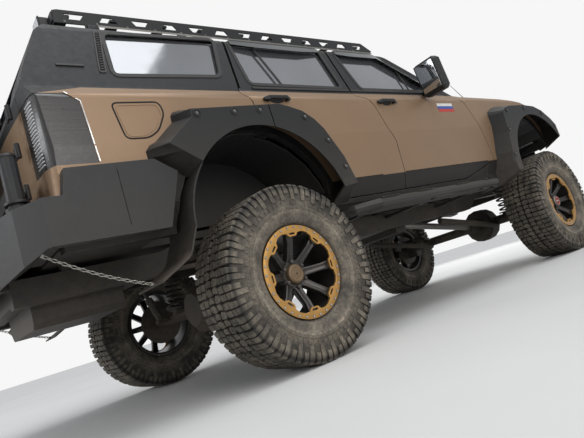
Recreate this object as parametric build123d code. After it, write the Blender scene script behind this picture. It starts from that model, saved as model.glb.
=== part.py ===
from build123d import *
import math
import os

# Lifted off-road 4x4: a five-door wagon on a ladder frame, on large mud tyres.
# Millimetres. X points forward and is measured from the rear axle while modelling, Y points left and Z up
# from the ground. The last step moves every piece so that the origin is below the middle of the length.

# Driving sizes of the vehicle
wheelbase = 2970
track_half = 870
tyre_radius = 440
tyre_width = 320
tyre_shoulder = 300
bead_radius = 222
wheel_width = 250
kingpin_half = 700
body_half_width = 925
body_wall = 45
door_wall = 38
jamb_depth = 40
flare_half_width = 1030
belt_z = 1465
sill_z = 783
body_bottom_z = 755
roof_z = 1925
panel_gap = 6
pillar_gap = 14
seat_gap = 0.3
glass_thickness = 5
glass_depth = 16

# Overhangs, measured from the axles
rear_face_x = -1030
spare_standoff = 75
nose_x = 3440
bumper_front_x = 3700
front_most = 3760


def polygon(points):
    # A closed outline whose face always looks along its plane's own direction
    face = Polygon(*points, align=None)
    if face.face().normal_at().Z < 0:
        face = Polygon(*reversed(points), align=None)
    return face


def grow(face, amount):
    # The same outline moved outward by an amount, or inward when it is negative, with sharp corners
    grown = offset(face, amount, kind=Kind.INTERSECTION).face()
    return grown if grown.normal_at().Z > 0 else -grown


def along_y(face, y_near, y_far):
    # A side-view face (x, z) pushed sideways from y_near to y_far, both counted to the right of the middle
    return extrude(Plane.XZ.offset(y_near) * face, amount=y_far - y_near)


def along_x(face, x_rear, x_front):
    # A rear-view face (y, z) pushed forward from x_rear to x_front
    return extrude(Plane.YZ.offset(x_rear) * face, amount=x_front - x_rear)


def along_z(face, z_low, z_high):
    # A plan-view face (x, y) pushed up from z_low to z_high
    return extrude(Plane.XY.offset(z_low) * face, amount=z_high - z_low)


def box(x_range, y_range, z_range):
    # A block between two values on each axis, with y counted to the left as in the vehicle's frame
    (x0, x1), (y0, y1), (z0, z1) = x_range, y_range, z_range
    middle = ((x0 + x1) / 2, (y0 + y1) / 2, (z0 + z1) / 2)
    return Pos(*middle) * Box(abs(x1 - x0), abs(y1 - y0), abs(z1 - z0))


def rod(start, end, radius):
    # A round bar between two points
    direction = Vector(*end) - Vector(*start)
    plane = Plane(origin=start, z_dir=direction)
    return extrude(plane * Circle(radius), amount=direction.length)


def bar(start, end, radius, sides=8):
    # A bar with flats between two points, for what needs no bearing surface
    direction = Vector(*end) - Vector(*start)
    plane = Plane(origin=start, z_dir=direction)
    return extrude(plane * RegularPolygon(radius, sides), amount=direction.length)


def pipe(points, radius, bend, sides=8):
    # A tube through the given corners, each bend taken in two mitres
    corners = [Vector(*points[0])]
    for before, corner, after in zip(points, points[1:], points[2:]):
        middle = Vector(*corner)
        back = (Vector(*before) - middle).normalized()
        ahead = (Vector(*after) - middle).normalized()
        corners.append(middle + back * bend)
        corners.append(middle + ahead * bend)
    corners.append(Vector(*points[-1]))
    path = Polyline(*corners)
    section = Plane(origin=path @ 0, z_dir=path % 0) * RegularPolygon(radius, sides)
    return sweep(section, path=path, transition=Transition.RIGHT)


def flat_ring(radius, sides, y_near, y_far):
    # A prism round the wheel's axis whose flats lie at the given radius
    corner = radius / math.cos(math.pi / sides)
    outline = RegularPolygon(corner, sides, rotation=180 / sides)
    return extrude(Plane.XZ.offset(-y_far) * outline, amount=y_far - y_near)


def both_sides(solid):
    return [solid, mirror(solid, about=Plane.XZ)]


# Outer form of the body: a rear-view section, a side view and a plan cut each other
def body_section(inset):
    side = [
        # half width, height
        (862, body_bottom_z),
        (870, sill_z),
        (908, 890),
        (body_half_width, 1168),
        (912, 1400),
        (858, belt_z),
        (748, 1850),
    ]
    right = Polyline(*[(-y, z) for y, z in side])
    left = Polyline(*side)
    roof = ThreePointArc((-748, 1850), (0, roof_z), (748, 1850))
    bottom = Line((-862, body_bottom_z), (862, body_bottom_z))
    face = make_face(right.edges() + left.edges() + roof.edges() + bottom.edges())
    soft = [v for v in face.vertices() if abs(v.Y - 1850) < 1]
    face = fillet(soft, 70)
    shoulder = [v for v in face.vertices() if abs(v.Y - 1400) < 1 or abs(v.Y - belt_z) < 1]
    face = fillet(shoulder, 35)
    return offset(face, -inset) if inset else face


side_view = [
    # x from the rear axle, height
    (rear_face_x, 700),
    (rear_face_x, 1420),
    (-985, 1560),
    (-880, 1790),
    (-800, 1868),
    (-640, 1905),
    (400, 1935),
    (1300, 1912),
    (1500, 1872),
    (2120, 1462),
    (2200, 1450),
    (2800, 1425),
    (3200, 1368),
    (3370, 1290),
    (nose_x, 1180),
    (nose_x, 700),
]

plan_corner = 120


def body_side_view(inset):
    face = polygon(side_view)
    return offset(face, -inset) if inset else face


def body_plan(inset):
    half = [
        (rear_face_x, 0),
        (rear_face_x + 8, 500),
        (rear_face_x + 35, 960),
        (2700, 960),
        (nose_x - 60, 880),
        (nose_x - 12, 500),
        (nose_x, 0),
    ]
    whole = half + [(x, -y) for x, y in reversed(half[1:-1])]
    face = polygon(whole)
    corners = [v for v in face.vertices() if abs(abs(v.Y) - 960) < 1 and v.X < 0]
    face = fillet(corners, plan_corner)
    return offset(face, -inset) if inset else face


def body_volume(inset):
    volume = along_x(body_section(inset), rear_face_x - 10, nose_x + 10)
    volume = volume & along_y(body_side_view(inset), -1100, 1100)
    return volume & along_z(body_plan(inset), 600, 2100)


outer_body = body_volume(0)
inner_body = body_volume(body_wall)
floor_half = 815
floor_z = (790, 830)
underside_top = body_bottom_z + body_wall + jamb_depth + 6
underside = box((rear_face_x - 50, nose_x + 50), (-floor_half, floor_half), (700, underside_top))
shell = outer_body - inner_body - underside

# Wheel arches, as circles in the side view
rear_arch = (-30, 715)
front_arch = (wheelbase - 30, 740)
arch_radius = 475
body_arch_radius = 490


arch_sides = 24


def arch_disc(centre, radius):
    # The clear opening under a flare, open below
    disc = Pos(*centre) * Circle(radius)
    below = Pos(centre[0], centre[1] - 300) * Rectangle(2 * radius, 600)
    return disc + below


def arch_flats(centre, radius):
    # The sheet-metal edge behind the flare, bent in flats
    corner = radius / math.cos(math.pi / arch_sides)
    return Pos(*centre) * RegularPolygon(corner, arch_sides, rotation=180 / arch_sides)


def body_arch(centre):
    below = Pos(centre[0], centre[1] - 300) * Rectangle(2 * body_arch_radius, 600)
    return arch_flats(centre, body_arch_radius) + below


arches = along_y(body_arch(rear_arch), -1100, 1100)
arches = arches + along_y(body_arch(front_arch), -1100, 1100)
shell = shell - arches

# Door outlines in the side view, on the gap lines
door_inner_y = 690
front_door_line = [
    (1146, sill_z),
    (1888, sill_z),
    (2303, 888),
    (2272, 1061),
    (2221, 1218),
    (2158, 1375),
    (2048, 1436),
    (1985, 1508),
    (1500, 1846),
    (1450, 1862),
    (950, 1862),
    (950, 1436),
    (1021, 1407),
    (1061, 1353),
    (1106, 1190),
    (1150, 1103),
]
rear_door_line = [
    (470, sill_z),
    (1146, sill_z),
    (1150, 1103),
    (1106, 1190),
    (1061, 1353),
    (1021, 1407),
    (950, 1436),
    (950, 1862),
    (140, 1862),
    (74, 1515),
    (53, 1442),
    (85, 1373),
    (100, 1100),
    (440, 800),
]
front_window = [(1070, 1503), (1020, 1835), (1440, 1835), (1860, 1545), (1885, 1503)]
rear_window = [(160, 1515), (165, 1838), (885, 1838), (895, 1507)]
quarter_window = [(-603, 1540), (-570, 1812), (75, 1838), (-5, 1562)]


def side_layer(near, far):
    # What lies between two depths below the sides, measured across the vehicle
    layer = along_x(body_section(near), rear_face_x, nose_x) - along_x(body_section(far), rear_face_x, nose_x)
    return (layer & body_volume(0)) - underside - arches


def tail_layer(near, far):
    # What lies between two depths below the rear face
    return body_volume(near) - body_volume(far) - underside


side_door_layer = side_layer(0, door_wall)
side_seal_layer = side_layer(door_wall, body_wall - seat_gap)
side_jamb_layer = side_layer(body_wall, body_wall + jamb_depth)


def door_jamb(line):
    # The frame behind a door's edge, which the closed door covers
    ring = along_y(grow(polygon(line), 20), door_inner_y + 10, 1100)
    ring = ring - along_y(grow(polygon(line), -32), door_inner_y, 1101)
    return side_jamb_layer & ring


door_jambs = [door_jamb(front_door_line), door_jamb(rear_door_line)]


def door_solid(line, window, rear_edge):
    region = grow(polygon(line), -panel_gap / 2)
    seal_ring = along_y(grow(polygon(line), -9), door_inner_y, 1100)
    seal_ring = seal_ring - along_y(grow(polygon(line), -22), door_inner_y - 10, 1101)
    seal = side_seal_layer & seal_ring
    panel = side_door_layer & along_y(region, door_inner_y, 1100)
    (x_low, z_low), (x_high, z_high) = rear_edge
    slot_line = [(x_low - 30, z_low), (x_high - 30, z_high), (x_high + pillar_gap, z_high), (x_low + pillar_gap, z_low)]
    slot = along_y(polygon(slot_line), 500, 1100)
    return panel - along_y(polygon(window), 500, 1100) - slot + (seal - slot)


def door_hole(line):
    region = grow(polygon(line), panel_gap / 2)
    return along_y(region, door_inner_y, 1100)


glass_outer = body_volume(glass_depth)
glass_shell = glass_outer - body_volume(glass_depth + glass_thickness)


def side_glass(window):
    return glass_shell & along_y(grow(polygon(window), -seat_gap), 560, 1100)


# The rear edge of each window frame, cut back so that it swings clear of the pillar
front_rear_edge = [(950, 1485), (950, 1880)]
rear_rear_edge = [(68, 1485), (143, 1880)]
door_front_right = door_solid(front_door_line, front_window, front_rear_edge)
door_rear_right = door_solid(rear_door_line, rear_window, rear_rear_edge)
glass_front_right = side_glass(front_window)
glass_rear_right = side_glass(rear_window)
quarter_right = side_glass(quarter_window)

# Tail doors: two of unequal width, split left of the middle on a slanting seam
tail_half = 735
tail_split_y = 130
tail_seam_gap = 12
tail_seam_slant = 28
tail_line = [
    # half width, height
    (735, 992),
    (735, 1430),
    (663, 1785),
]
tail_windows = {"right": (-610, 50), "left": (210, 610)}
tail_window_z = (1500, 1745)
tail_door_layer = tail_layer(0, door_wall)
tail_seal_layer = tail_layer(door_wall, body_wall - seat_gap)
tail_jamb_layer = tail_layer(body_wall, body_wall + jamb_depth)

# How far forward the tail doors and their opening reach, in the side view
tail_reach = polygon([
    (-1100, 900),
    (-930, 900),
    (-930, 1440),
    (-890, 1570),
    (-785, 1800),
    (-735, 1850),
    (-735, 1900),
    (-1100, 1900),
])


def tail_region(margin):
    outline = tail_line + [(-y, z) for y, z in reversed(tail_line)]
    return along_x(grow(polygon(outline), margin), rear_face_x - 50, -700)


def tail_window(side, shrink):
    y0, y1 = tail_windows[side]
    z0, z1 = tail_window_z
    return box((rear_face_x - 50, -700), (y0 + shrink, y1 - shrink), (z0 + shrink, z1 - shrink))


rear_outline = [
    (rear_face_x, 900),
    (rear_face_x, 1420),
    (-985, 1560),
    (-880, 1790),
    (-800, 1868),
    (-500, 1868),
    (-500, 900),
]


def left_of_seam(shift):
    # What lies to the left of the seam, which slants under the leaning skin so that the right door leads
    start = tail_split_y + tail_seam_slant / 2 + shift
    taper = math.degrees(math.atan(door_wall / tail_seam_slant))
    wedge = extrude(Plane.XZ.offset(-start) * polygon(rear_outline), amount=tail_seam_slant, taper=taper)
    return wedge + box((-1200, -500), (start, 1000), (900, 1868))


def tail_door(side):
    ring = tail_region(-9) - tail_region(-22)
    door = (tail_door_layer & tail_region(-panel_gap / 2)) + (tail_seal_layer & ring)
    door = (door - tail_window(side, 0)) & along_y(grow(tail_reach, -panel_gap), -800, 800)
    if side == "right":
        return door - left_of_seam(-tail_seam_gap / 2)
    return door & left_of_seam(tail_seam_gap / 2)


tail_door_right = tail_door("right")
tail_door_left = tail_door("left")
tail_jamb = tail_jamb_layer & (tail_region(20) - tail_region(-32))
tail_glass_right = glass_shell & tail_window("right", seat_gap)
tail_glass_left = glass_shell & tail_window("left", seat_gap)
tail_hole = tail_region(panel_gap / 2) & along_y(tail_reach, -800, 800)

# Lamps at the rear corners
tail_lamp_line = [(-1080, 1092), (-803, 1092), (-818, 1371), (-870, 1417), (-1080, 1408)]
tail_lamp_inner = 745
lamp_region = along_y(polygon(tail_lamp_line), tail_lamp_inner, 1100)
lamp_shell = body_volume(2) - body_volume(40)
tail_lamp_right = lamp_shell & along_y(
    grow(polygon(tail_lamp_line), -seat_gap), tail_lamp_inner + seat_gap, 1100
)

# Windscreen opening, in the leaning plane between the front pillars
screen_region = box((1400, 2140), (-690, 690), (1510, 1835))
windscreen = glass_shell & box((1400, 2140), (-690 + seat_gap, 690 - seat_gap), (1510 + seat_gap, 1835 - seat_gap))
windscreen = windscreen & along_y(polygon([(1400, 1300), (2300, 1300), (2300, 1700), (1480, 1900)]), -1000, 1000)

# Panels of the shell
cowl_x = 2190
door_hole_front = door_hole(front_door_line)
door_hole_rear = door_hole(rear_door_line)
roof_cut_half = 690
cabin_shell = shell & box((rear_face_x - 50, cowl_x), (-1100, 1100), (700, 2100))
cabin_shell = cabin_shell - screen_region - tail_hole
for hole in (door_hole_front, door_hole_rear, along_y(polygon(quarter_window), 500, 1100), lamp_region):
    cabin_shell = cabin_shell - hole - mirror(hole, about=Plane.XZ)

roof_block = box((-830, 1560), (-roof_cut_half, roof_cut_half), (1840, 2100))
roof_panel = cabin_shell & roof_block
side_inner = 640
cowl_block = box((1700, cowl_x), (-side_inner, side_inner), (1300, 1600))
cowl = cabin_shell & cowl_block
rear_block = box((rear_face_x - 50, -700), (-side_inner, side_inner), (700, 2000)) - roof_block
rear_frame = cabin_shell & rear_block
body_sides = cabin_shell - roof_block - cowl_block - rear_block
body_sides = body_sides - box((cowl_x - seat_gap, cowl_x + 10), (-1000, 1000), (700, 1700))
rear_frame = rear_frame + (tail_jamb & rear_block)
body_sides = body_sides + (tail_jamb - roof_block - rear_block)
for jamb in door_jambs:
    body_sides = body_sides + jamb + mirror(jamb, about=Plane.XZ)

# Nose: bonnet, wings and front panel
bonnet_half = 640
bonnet_x = (2206, 3352)
bonnet_wall = 30
nose_shell = shell & box((cowl_x, nose_x + 50), (-1100, 1100), (780, 1600))
nose_shell = nose_shell - door_hole_front - mirror(door_hole_front, about=Plane.XZ)
bonnet_block = box(bonnet_x, (-bonnet_half, bonnet_half), (1200, 1600))
bonnet_hole = box(
    (bonnet_x[0] - panel_gap, bonnet_x[1] + panel_gap),
    (-bonnet_half - panel_gap, bonnet_half + panel_gap),
    (1200, 1600),
)
bonnet = (outer_body - body_volume(bonnet_wall)) & bonnet_block
ledge_width = 34
ledge_thickness = 14
bonnet_ledge = body_volume(bonnet_wall + seat_gap) - body_volume(bonnet_wall + ledge_thickness)
bonnet_ledge = bonnet_ledge & (bonnet_hole - box(
    (bonnet_x[0] + ledge_width, bonnet_x[1] - ledge_width),
    (-bonnet_half + ledge_width, bonnet_half - ledge_width),
    (1100, 1700),
))
nose_panels = nose_shell + cowl - bonnet_hole + bonnet_ledge - box((3300, 3500), (-800, 800), (700, 960))
grille_half = 480
grille_z = (1010, 1200)
grille_hole = box((3300, 3500), (-grille_half, grille_half), grille_z)
lamp_z = (1030, 1200)
lamp_y = (510, 790)
head_lamp_hole = box((3300, 3500), (-lamp_y[1], -lamp_y[0]), lamp_z)
nose_panels = nose_panels - grille_hole - head_lamp_hole - mirror(head_lamp_hole, about=Plane.XZ)
head_lamp_shell = body_volume(3) - body_volume(60)
head_lamp = head_lamp_shell & box(
    (3300, 3500),
    (-lamp_y[1] + seat_gap, -lamp_y[0] - seat_gap),
    (lamp_z[0] + seat_gap, lamp_z[1] - seat_gap),
)
grille_bars = []
for index in range(5):
    z_mid = grille_z[0] + 22 + 36.5 * index
    grille_bars.append(box((nose_x - 42, nose_x - 18), (-grille_half + seat_gap, grille_half - seat_gap), (z_mid - 9, z_mid + 9)))
grille_posts = [box((nose_x - 46, nose_x - 24), (y - 12, y + 12), (grille_z[0] + seat_gap, grille_z[1] - seat_gap)) for y in (-300, 0, 300)]
grille = grille_bars[0]
for piece in grille_bars[1:] + grille_posts:
    grille = grille + piece

# Floor, load floor and bulkhead
floor_edge = floor_half - seat_gap
floor_pan = box((-985, -530), (-floor_edge, floor_edge), floor_z)
floor_pan = floor_pan + box((-530, 480), (-460, 460), floor_z)
floor_pan = floor_pan + box((480, 2150), (-floor_edge, floor_edge), floor_z)
bulkhead = box((2110, 2150), (-780, 780), (floor_z[0], 1330))

# Wheel-arch liners: a curved sheet over each wheel with an inner wall
liner_thickness = 6


def liner(centre, y_in, y_out):
    outside = along_y(arch_flats(centre, body_arch_radius - 1), y_in, y_out)
    inner_outline = arch_flats(centre, body_arch_radius - 1 - liner_thickness)
    inside = along_y(inner_outline, y_in + liner_thickness, y_out + 1)
    half = box((centre[0] - 600, centre[0] + 600), (-y_out - 10, -y_in + 10), (840, 1400))
    return (outside - inside) & half & liner_limit


liner_limit = body_volume(8)
rear_liner = liner(rear_arch, 480, 900) - box((60, 600), (-1000, -858), (700, 1400))
front_liner = liner(front_arch, 480, 900) - box((3320, 3600), (-1000, -400), (700, 1400))
arch_liners = both_sides(rear_liner) + both_sides(front_liner)

# Arch flares: a raised skirt round each wheel opening
flare_taper = 22
flare_wall = 8
hollow_lead = 10
rear_flare_line = [
    (-655, 1092),
    (-611, 1158),
    (-571, 1174),
    (-450, 1273),
    (-443, 1330),
    (-409, 1345),
    (154, 1373),
    (235, 1354),
    (327, 1325),
    (412, 1266),
    (473, 1197),
    (567, 1011),
    (616, 814),
    (600, 766),
    (-30, 700),
    (-600, 1085),
]
front_flare_line = [
    (2328, 678),
    (2318, 798),
    (2330, 923),
    (2380, 1090),
    (2409, 1263),
    (2430, 1306),
    (2502, 1341),
    (2595, 1363),
    (2848, 1371),
    (3058, 1357),
    (3201, 1311),
    (3338, 1222),
    (3420, 1140),
    (3430, 960),
    (2940, 690),
]


def flare(line, centre):
    base_y = 860
    depth = flare_half_width - base_y
    hollow_line = grow(polygon(line), -flare_wall)
    hollow_depth = depth - flare_wall + hollow_lead
    hollow = extrude(Plane.XZ.offset(base_y - hollow_lead) * hollow_line, amount=hollow_depth, taper=flare_taper)
    skirt = extrude(Plane.XZ.offset(base_y) * polygon(line), amount=depth, taper=flare_taper)
    opening = along_y(arch_disc(centre, arch_radius), 700, 1200)
    return (skirt - body_clear) - (opening + hollow)


body_clear = body_volume(-seat_gap)
rear_flare = flare(rear_flare_line, rear_arch)
front_flare = flare(front_flare_line, front_arch)
flare_split = 80
rear_flare_body = rear_flare & box((-900, flare_split - panel_gap / 2), (-1200, -700), (600, 1500))
rear_flare_door = rear_flare & box((flare_split + panel_gap / 2, 900), (-1200, -700), (600, 1500))

# Tyres: a carcass with flats, and shoulder lugs that reach the full radius
lug_count = 18
lug_depth = 16
carcass_radius = tyre_radius - lug_depth
tyre_sides = 2 * lug_count
bead_half = 118
tyre_table = [
    # half width, radius
    (bead_half, bead_radius + 10),
    (tyre_width / 2, 330),
    (tyre_shoulder / 2, carcass_radius),
]
centre_groove = 14
lug_slope = 12


def tyre_outline(y, radius):
    corner = radius / math.cos(math.pi / tyre_sides)
    return Plane.XZ.offset(-y) * RegularPolygon(corner, tyre_sides, rotation=180 / tyre_sides)


def tyre_at_origin():
    sections = [tyre_outline(-half, radius) for half, radius in tyre_table]
    sections = sections + [tyre_outline(half, radius) for half, radius in reversed(tyre_table)]
    carcass = loft(sections, ruled=True)
    carcass = carcass - flat_ring(bead_radius + seat_gap, tyre_sides, -tyre_width, tyre_width)
    lug_line = [
        (carcass_radius - 24, centre_groove),
        (tyre_radius, centre_groove),
        (tyre_radius, tyre_shoulder / 2 - lug_slope),
        (carcass_radius, tyre_shoulder / 2),
        (carcass_radius - 24, tyre_shoulder / 2 - 8),
    ]
    half_pitch = carcass_radius * math.tan(math.pi / tyre_sides)
    lug = extrude(Plane.XY * polygon(lug_line), amount=half_pitch, both=True)
    lugs = []
    step = 360 / lug_count
    for index in range(lug_count):
        lugs.append(Rot(0, index * step, 0) * lug)
        lugs.append(Rot(0, (index + 0.5) * step, 0) * mirror(lug, about=Plane.XZ))
    return carcass.fuse(*lugs)


# Rims: an open barrel with a clamped outer ring, its slotted tabs, the spokes and the hub
rim_wall = 16
ring_thickness = 12
ring_outer = 231
ring_inner = 176
tab_half = 36
slot_line = [(184, -18), (194, -18), (194, 18), (184, 18)]
spoke_count = 8
spoke_half = 24
spoke_line = [
    # radius, distance from the middle plane
    (72, 22),
    (72, 52),
    (120, 60),
    (212, 96),
    (212, 70),
    (120, 36),
]
hub_radius = 78
hub_bore = 52
hub_y = (12, 56)


def rim_at_origin():
    inner = flat_ring(bead_radius - rim_wall, tyre_sides, -tyre_width, tyre_width)
    barrel = flat_ring(bead_radius, tyre_sides, -bead_half, bead_half)
    ring = flat_ring(ring_outer, tyre_sides, bead_half, bead_half + ring_thickness)
    rim = barrel + ring - inner
    tab = Plane.XZ * polygon([
        (ring_inner, -tab_half + 14),
        (ring_inner + 14, -tab_half),
        (212, -tab_half),
        (212, tab_half),
        (ring_inner + 14, tab_half),
        (ring_inner, tab_half - 14),
    ])
    tab = Pos(0, bead_half + ring_thickness, 0) * extrude(tab, amount=ring_thickness)
    slot = Pos(0, bead_half + 2 * ring_thickness, 0) * extrude(Plane.XZ * polygon(slot_line), amount=60)
    tab = tab - slot
    spoke = extrude(Plane.XY * polygon(spoke_line), amount=spoke_half, both=True)
    hub = flat_ring(hub_radius, 2 * spoke_count, hub_y[0], hub_y[1])
    pieces = [hub]
    for index in range(spoke_count):
        turn = Rot(0, index * 360 / spoke_count, 0)
        pieces.append(turn * tab)
        pieces.append(turn * spoke)
    rim = rim.fuse(*pieces)
    return rim - flat_ring(hub_bore, 2 * spoke_count, hub_y[0] - 10, hub_y[1] + 10)


tyre = tyre_at_origin()
rim = rim_at_origin()


def place_wheel(solid, x, side):
    # side is -1 on the right; the outer face of the wheel points outward
    turned = solid if side > 0 else mirror(solid, about=Plane.XZ)
    return Pos(x, side * track_half, tyre_radius) * turned


# Axles, knuckles and brakes
axle_radius = 42
diff_radius = 150
running_gap = 0.05
disc_y = 735


def stub(side, x):
    # The hub spindle that carries a wheel, from the brake disc outward
    y0, y1 = side * 730, side * (track_half + 35)
    return rod((x, y0, tyre_radius), (x, y1, tyre_radius), hub_bore - running_gap)


def brake_disc(side, x):
    return bar((x, side * 715, tyre_radius), (x, side * 731, tyre_radius), 150, 24)


spring_radius = 62
spring_seats = {
    # axle: y of the spring, lower seat z, upper seat z
    "rear": (397, 500, 690),
    "front": (505, 500, 740),
}
damper_table = {
    # axle: x from the axle at the foot, x at the top, y, foot z, top z
    "rear": (-95, -190, 500, 452, 740),
    "front": (95, 60, 575, 452, 770),
}


def diff_housing(x, y, clearance=0):
    # The round case of the crown wheel, with bevelled rims, seen from in front of the axle
    case = bar((x - 105, y, tyre_radius), (x + 105, y, tyre_radius), diff_radius, 14)
    rims = case.edges().filter_by(GeomType.LINE).filter_by(lambda edge: abs(edge.center().X - x) > 100)
    case = chamfer(rims, 45)
    return offset(case, clearance, kind=Kind.INTERSECTION) if clearance else case


def housing(x, reach, diff_y, nose, name):
    spring_y, seat_z, top_z = spring_seats[name]
    foot_x, top_x, damper_y, foot_z, damper_top = damper_table[name]
    solid = bar((x, -reach, tyre_radius), (x, reach, tyre_radius), axle_radius, 10)
    solid = solid + diff_housing(x, diff_y)
    solid = solid + bar((x, diff_y, tyre_radius), (x + nose, diff_y, tyre_radius + 20), 62, 10)
    for side in (-1, 1):
        seat = (x, side * spring_y)
        solid = solid + bar((*seat, tyre_radius), (*seat, seat_z - seat_gap), 45)
        solid = solid + bar((*seat, seat_z - 10), (*seat, seat_z - seat_gap), spring_radius + 8, 12)
        foot = (x, x + foot_x + math.copysign(32, foot_x))
        across = (side * damper_y - 30, side * damper_y + 30)
        solid = solid + box(foot, across, (foot_z - 20, foot_z - seat_gap))
    return solid


rear_axle = housing(0, 716, 0, 250, "rear")
for side in (-1, 1):
    rear_axle = rear_axle + stub(side, 0) + brake_disc(side, 0)
front_diff_y = -220
front_axle = housing(wheelbase, 640, front_diff_y, -250, "front")
ear_z = (62, 96)
ear_radius = 30
for side in (-1, 1):
    ear_y = sorted((side * 590, side * 640))
    yoke = box((wheelbase - 45, wheelbase + 45), ear_y, (tyre_radius - ear_z[1], tyre_radius + ear_z[1]))
    for sign in (-1, 1):
        z_near = tyre_radius + sign * ear_z[0]
        z_far = tyre_radius + sign * ear_z[1]
        arm_y = sorted((side * 640, side * kingpin_half))
        yoke = yoke + box((wheelbase - ear_radius, wheelbase + ear_radius), arm_y, sorted((z_near, z_far)))
        eye = (wheelbase, side * kingpin_half)
        yoke = yoke + bar((*eye, z_near), (*eye, z_far), ear_radius, 16)
    front_axle = front_axle + yoke
pin_radius = 16
for side in (-1, 1):
    pin_hole = rod(
        (wheelbase, side * kingpin_half, tyre_radius - 120), (wheelbase, side * kingpin_half, tyre_radius + 120), pin_radius
    )
    front_axle = front_axle - pin_hole


def knuckle(side):
    post = box(
        (wheelbase - 30, wheelbase + 30), (side * 662, side * 725), (tyre_radius - ear_z[0] + 6, tyre_radius + ear_z[0] - 6)
    )
    pin = rod(
        (wheelbase, side * kingpin_half, tyre_radius - ear_z[1]),
        (wheelbase, side * kingpin_half, tyre_radius + ear_z[1]),
        pin_radius - running_gap,
    )
    arm = box((wheelbase - 170, wheelbase - 20), (side * 690, side * 720), (tyre_radius - 30, tyre_radius - 5))
    disc = bar((wheelbase, side * 738, tyre_radius), (wheelbase, side * 752, tyre_radius), 150, 24)
    spindle = rod((wheelbase, side * 720, tyre_radius), (wheelbase, side * (track_half + 35), tyre_radius), hub_bore - running_gap)
    return post + pin + arm + disc + spindle


# Ladder frame
rail_y = (360, 435)
rail_line = [
    (-1130, 640), (-1130, 760), (-420, 760), (-330, 785), (330, 785), (460, 720), (2500, 720), (2620, 785),
    (3320, 785), (3520, 760), (3520, 650), (3300, 680), (2640, 680), (2520, 600), (440, 600), (320, 690),
    (-320, 690), (-440, 640),
]
rail = along_y(polygon(rail_line), rail_y[0], rail_y[1])
frame_rails = rail + mirror(rail, about=Plane.XZ)
cross_members = [
    # x, z, half length, half height
    (-1090, 700, 40, 45),
    (-565, 670, 35, 28),
    (560, 641, 40, 20),
    (1600, 583, 60, 22),
    (2570, 645, 40, 26),
    (3450, 710, 45, 45),
]
for x, z, half_x, half_z in cross_members:
    frame_rails = frame_rails + box((x - half_x, x + half_x), (-rail_y[0] - 5, rail_y[0] + 5), (z - half_z, z + half_z))
body_mount_x = (-880, 600, 1350, 2060)
for x in body_mount_x:
    for side in (-1, 1):
        foot = (x, side * 397)
        frame_rails = frame_rails + bar((*foot, 700), (*foot, floor_z[0] - seat_gap), 34)
for name, x in (("rear", 0), ("front", wheelbase)):
    spring_y, seat_z, top_z = spring_seats[name]
    foot_x, top_x, damper_y, foot_z, damper_top = damper_table[name]
    for side in (-1, 1):
        top = (x, side * spring_y)
        cup = bar((*top, top_z + seat_gap), (*top, top_z + 14), spring_radius + 8, 12)
        reach = sorted((side * 380, side * (damper_y + 30)))
        arm = box((x - 40, x + 40), sorted((side * 380, side * spring_y)), (top_z + seat_gap, top_z + 14))
        ear = box((x + top_x - 32, x + top_x + 32), reach, (damper_top + seat_gap, damper_top + 12))
        frame_rails = frame_rails + cup + arm + ear

# Suspension
links = []
link_radius = 26
link_table = [
    # axle end x, y, z, frame end x, y, z
    (30, rail_y[0] - link_radius - seat_gap, 400, 690, rail_y[0] - link_radius - seat_gap, 618),
    (30, 180, 470, 480, 300, 680),
    (wheelbase - 30, 385, 400, 2080, 395, 566),
]
for x0, y0, z0, x1, y1, z1 in link_table:
    axle_x = 0 if x0 < wheelbase / 2 else wheelbase
    axle_clear = bar((axle_x, -800, tyre_radius), (axle_x, 800, tyre_radius), axle_radius + 2 * seat_gap, 10)
    axle_clear = axle_clear + diff_housing(axle_x, front_diff_y if axle_x else 0, seat_gap)
    for side in (-1, 1):
        links.append(bar((x0, side * y0, z0), (x1, side * y1, z1), link_radius) - axle_clear)

springs = []
coil_turns = 5
coil_steps = 8
wire_radius = 8
for name, x in (("rear", 0), ("front", wheelbase)):
    spring_y, seat_z, top_z = spring_seats[name]
    height = top_z - seat_z - 2 * wire_radius
    corners = []
    for index in range(coil_turns * coil_steps + 1):
        turn = 2 * math.pi * index / coil_steps
        reach = spring_radius - wire_radius
        rise = height * index / (coil_turns * coil_steps)
        corners.append((reach * math.cos(turn), reach * math.sin(turn), rise))
    coil = Polyline(*corners)
    section = Plane(origin=coil @ 0, z_dir=coil % 0) * Rectangle(1.6 * wire_radius, 1.6 * wire_radius)
    wire = sweep(section, path=coil, transition=Transition.RIGHT)
    for side in (-1, 1):
        springs.append(Pos(x, side * spring_y, seat_z + wire_radius) * wire)

dampers = []
for name, x in (("rear", 0), ("front", wheelbase)):
    foot_x, top_x, damper_y, foot_z, damper_top = damper_table[name]
    for side in (-1, 1):
        lower = Vector(x + foot_x, side * damper_y, foot_z)
        upper = Vector(x + top_x, side * damper_y, damper_top)
        middle = lower + (upper - lower) * 0.55
        body = bar(tuple(lower), tuple(middle), 28) + bar(tuple(middle), tuple(upper), 14)
        dampers.append(body - box((x - 400, x + 400), (-700, 700), (foot_z - 60, foot_z)) - box(
            (x - 400, x + 400), (-700, 700), (damper_top, damper_top + 60)
        ))

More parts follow.
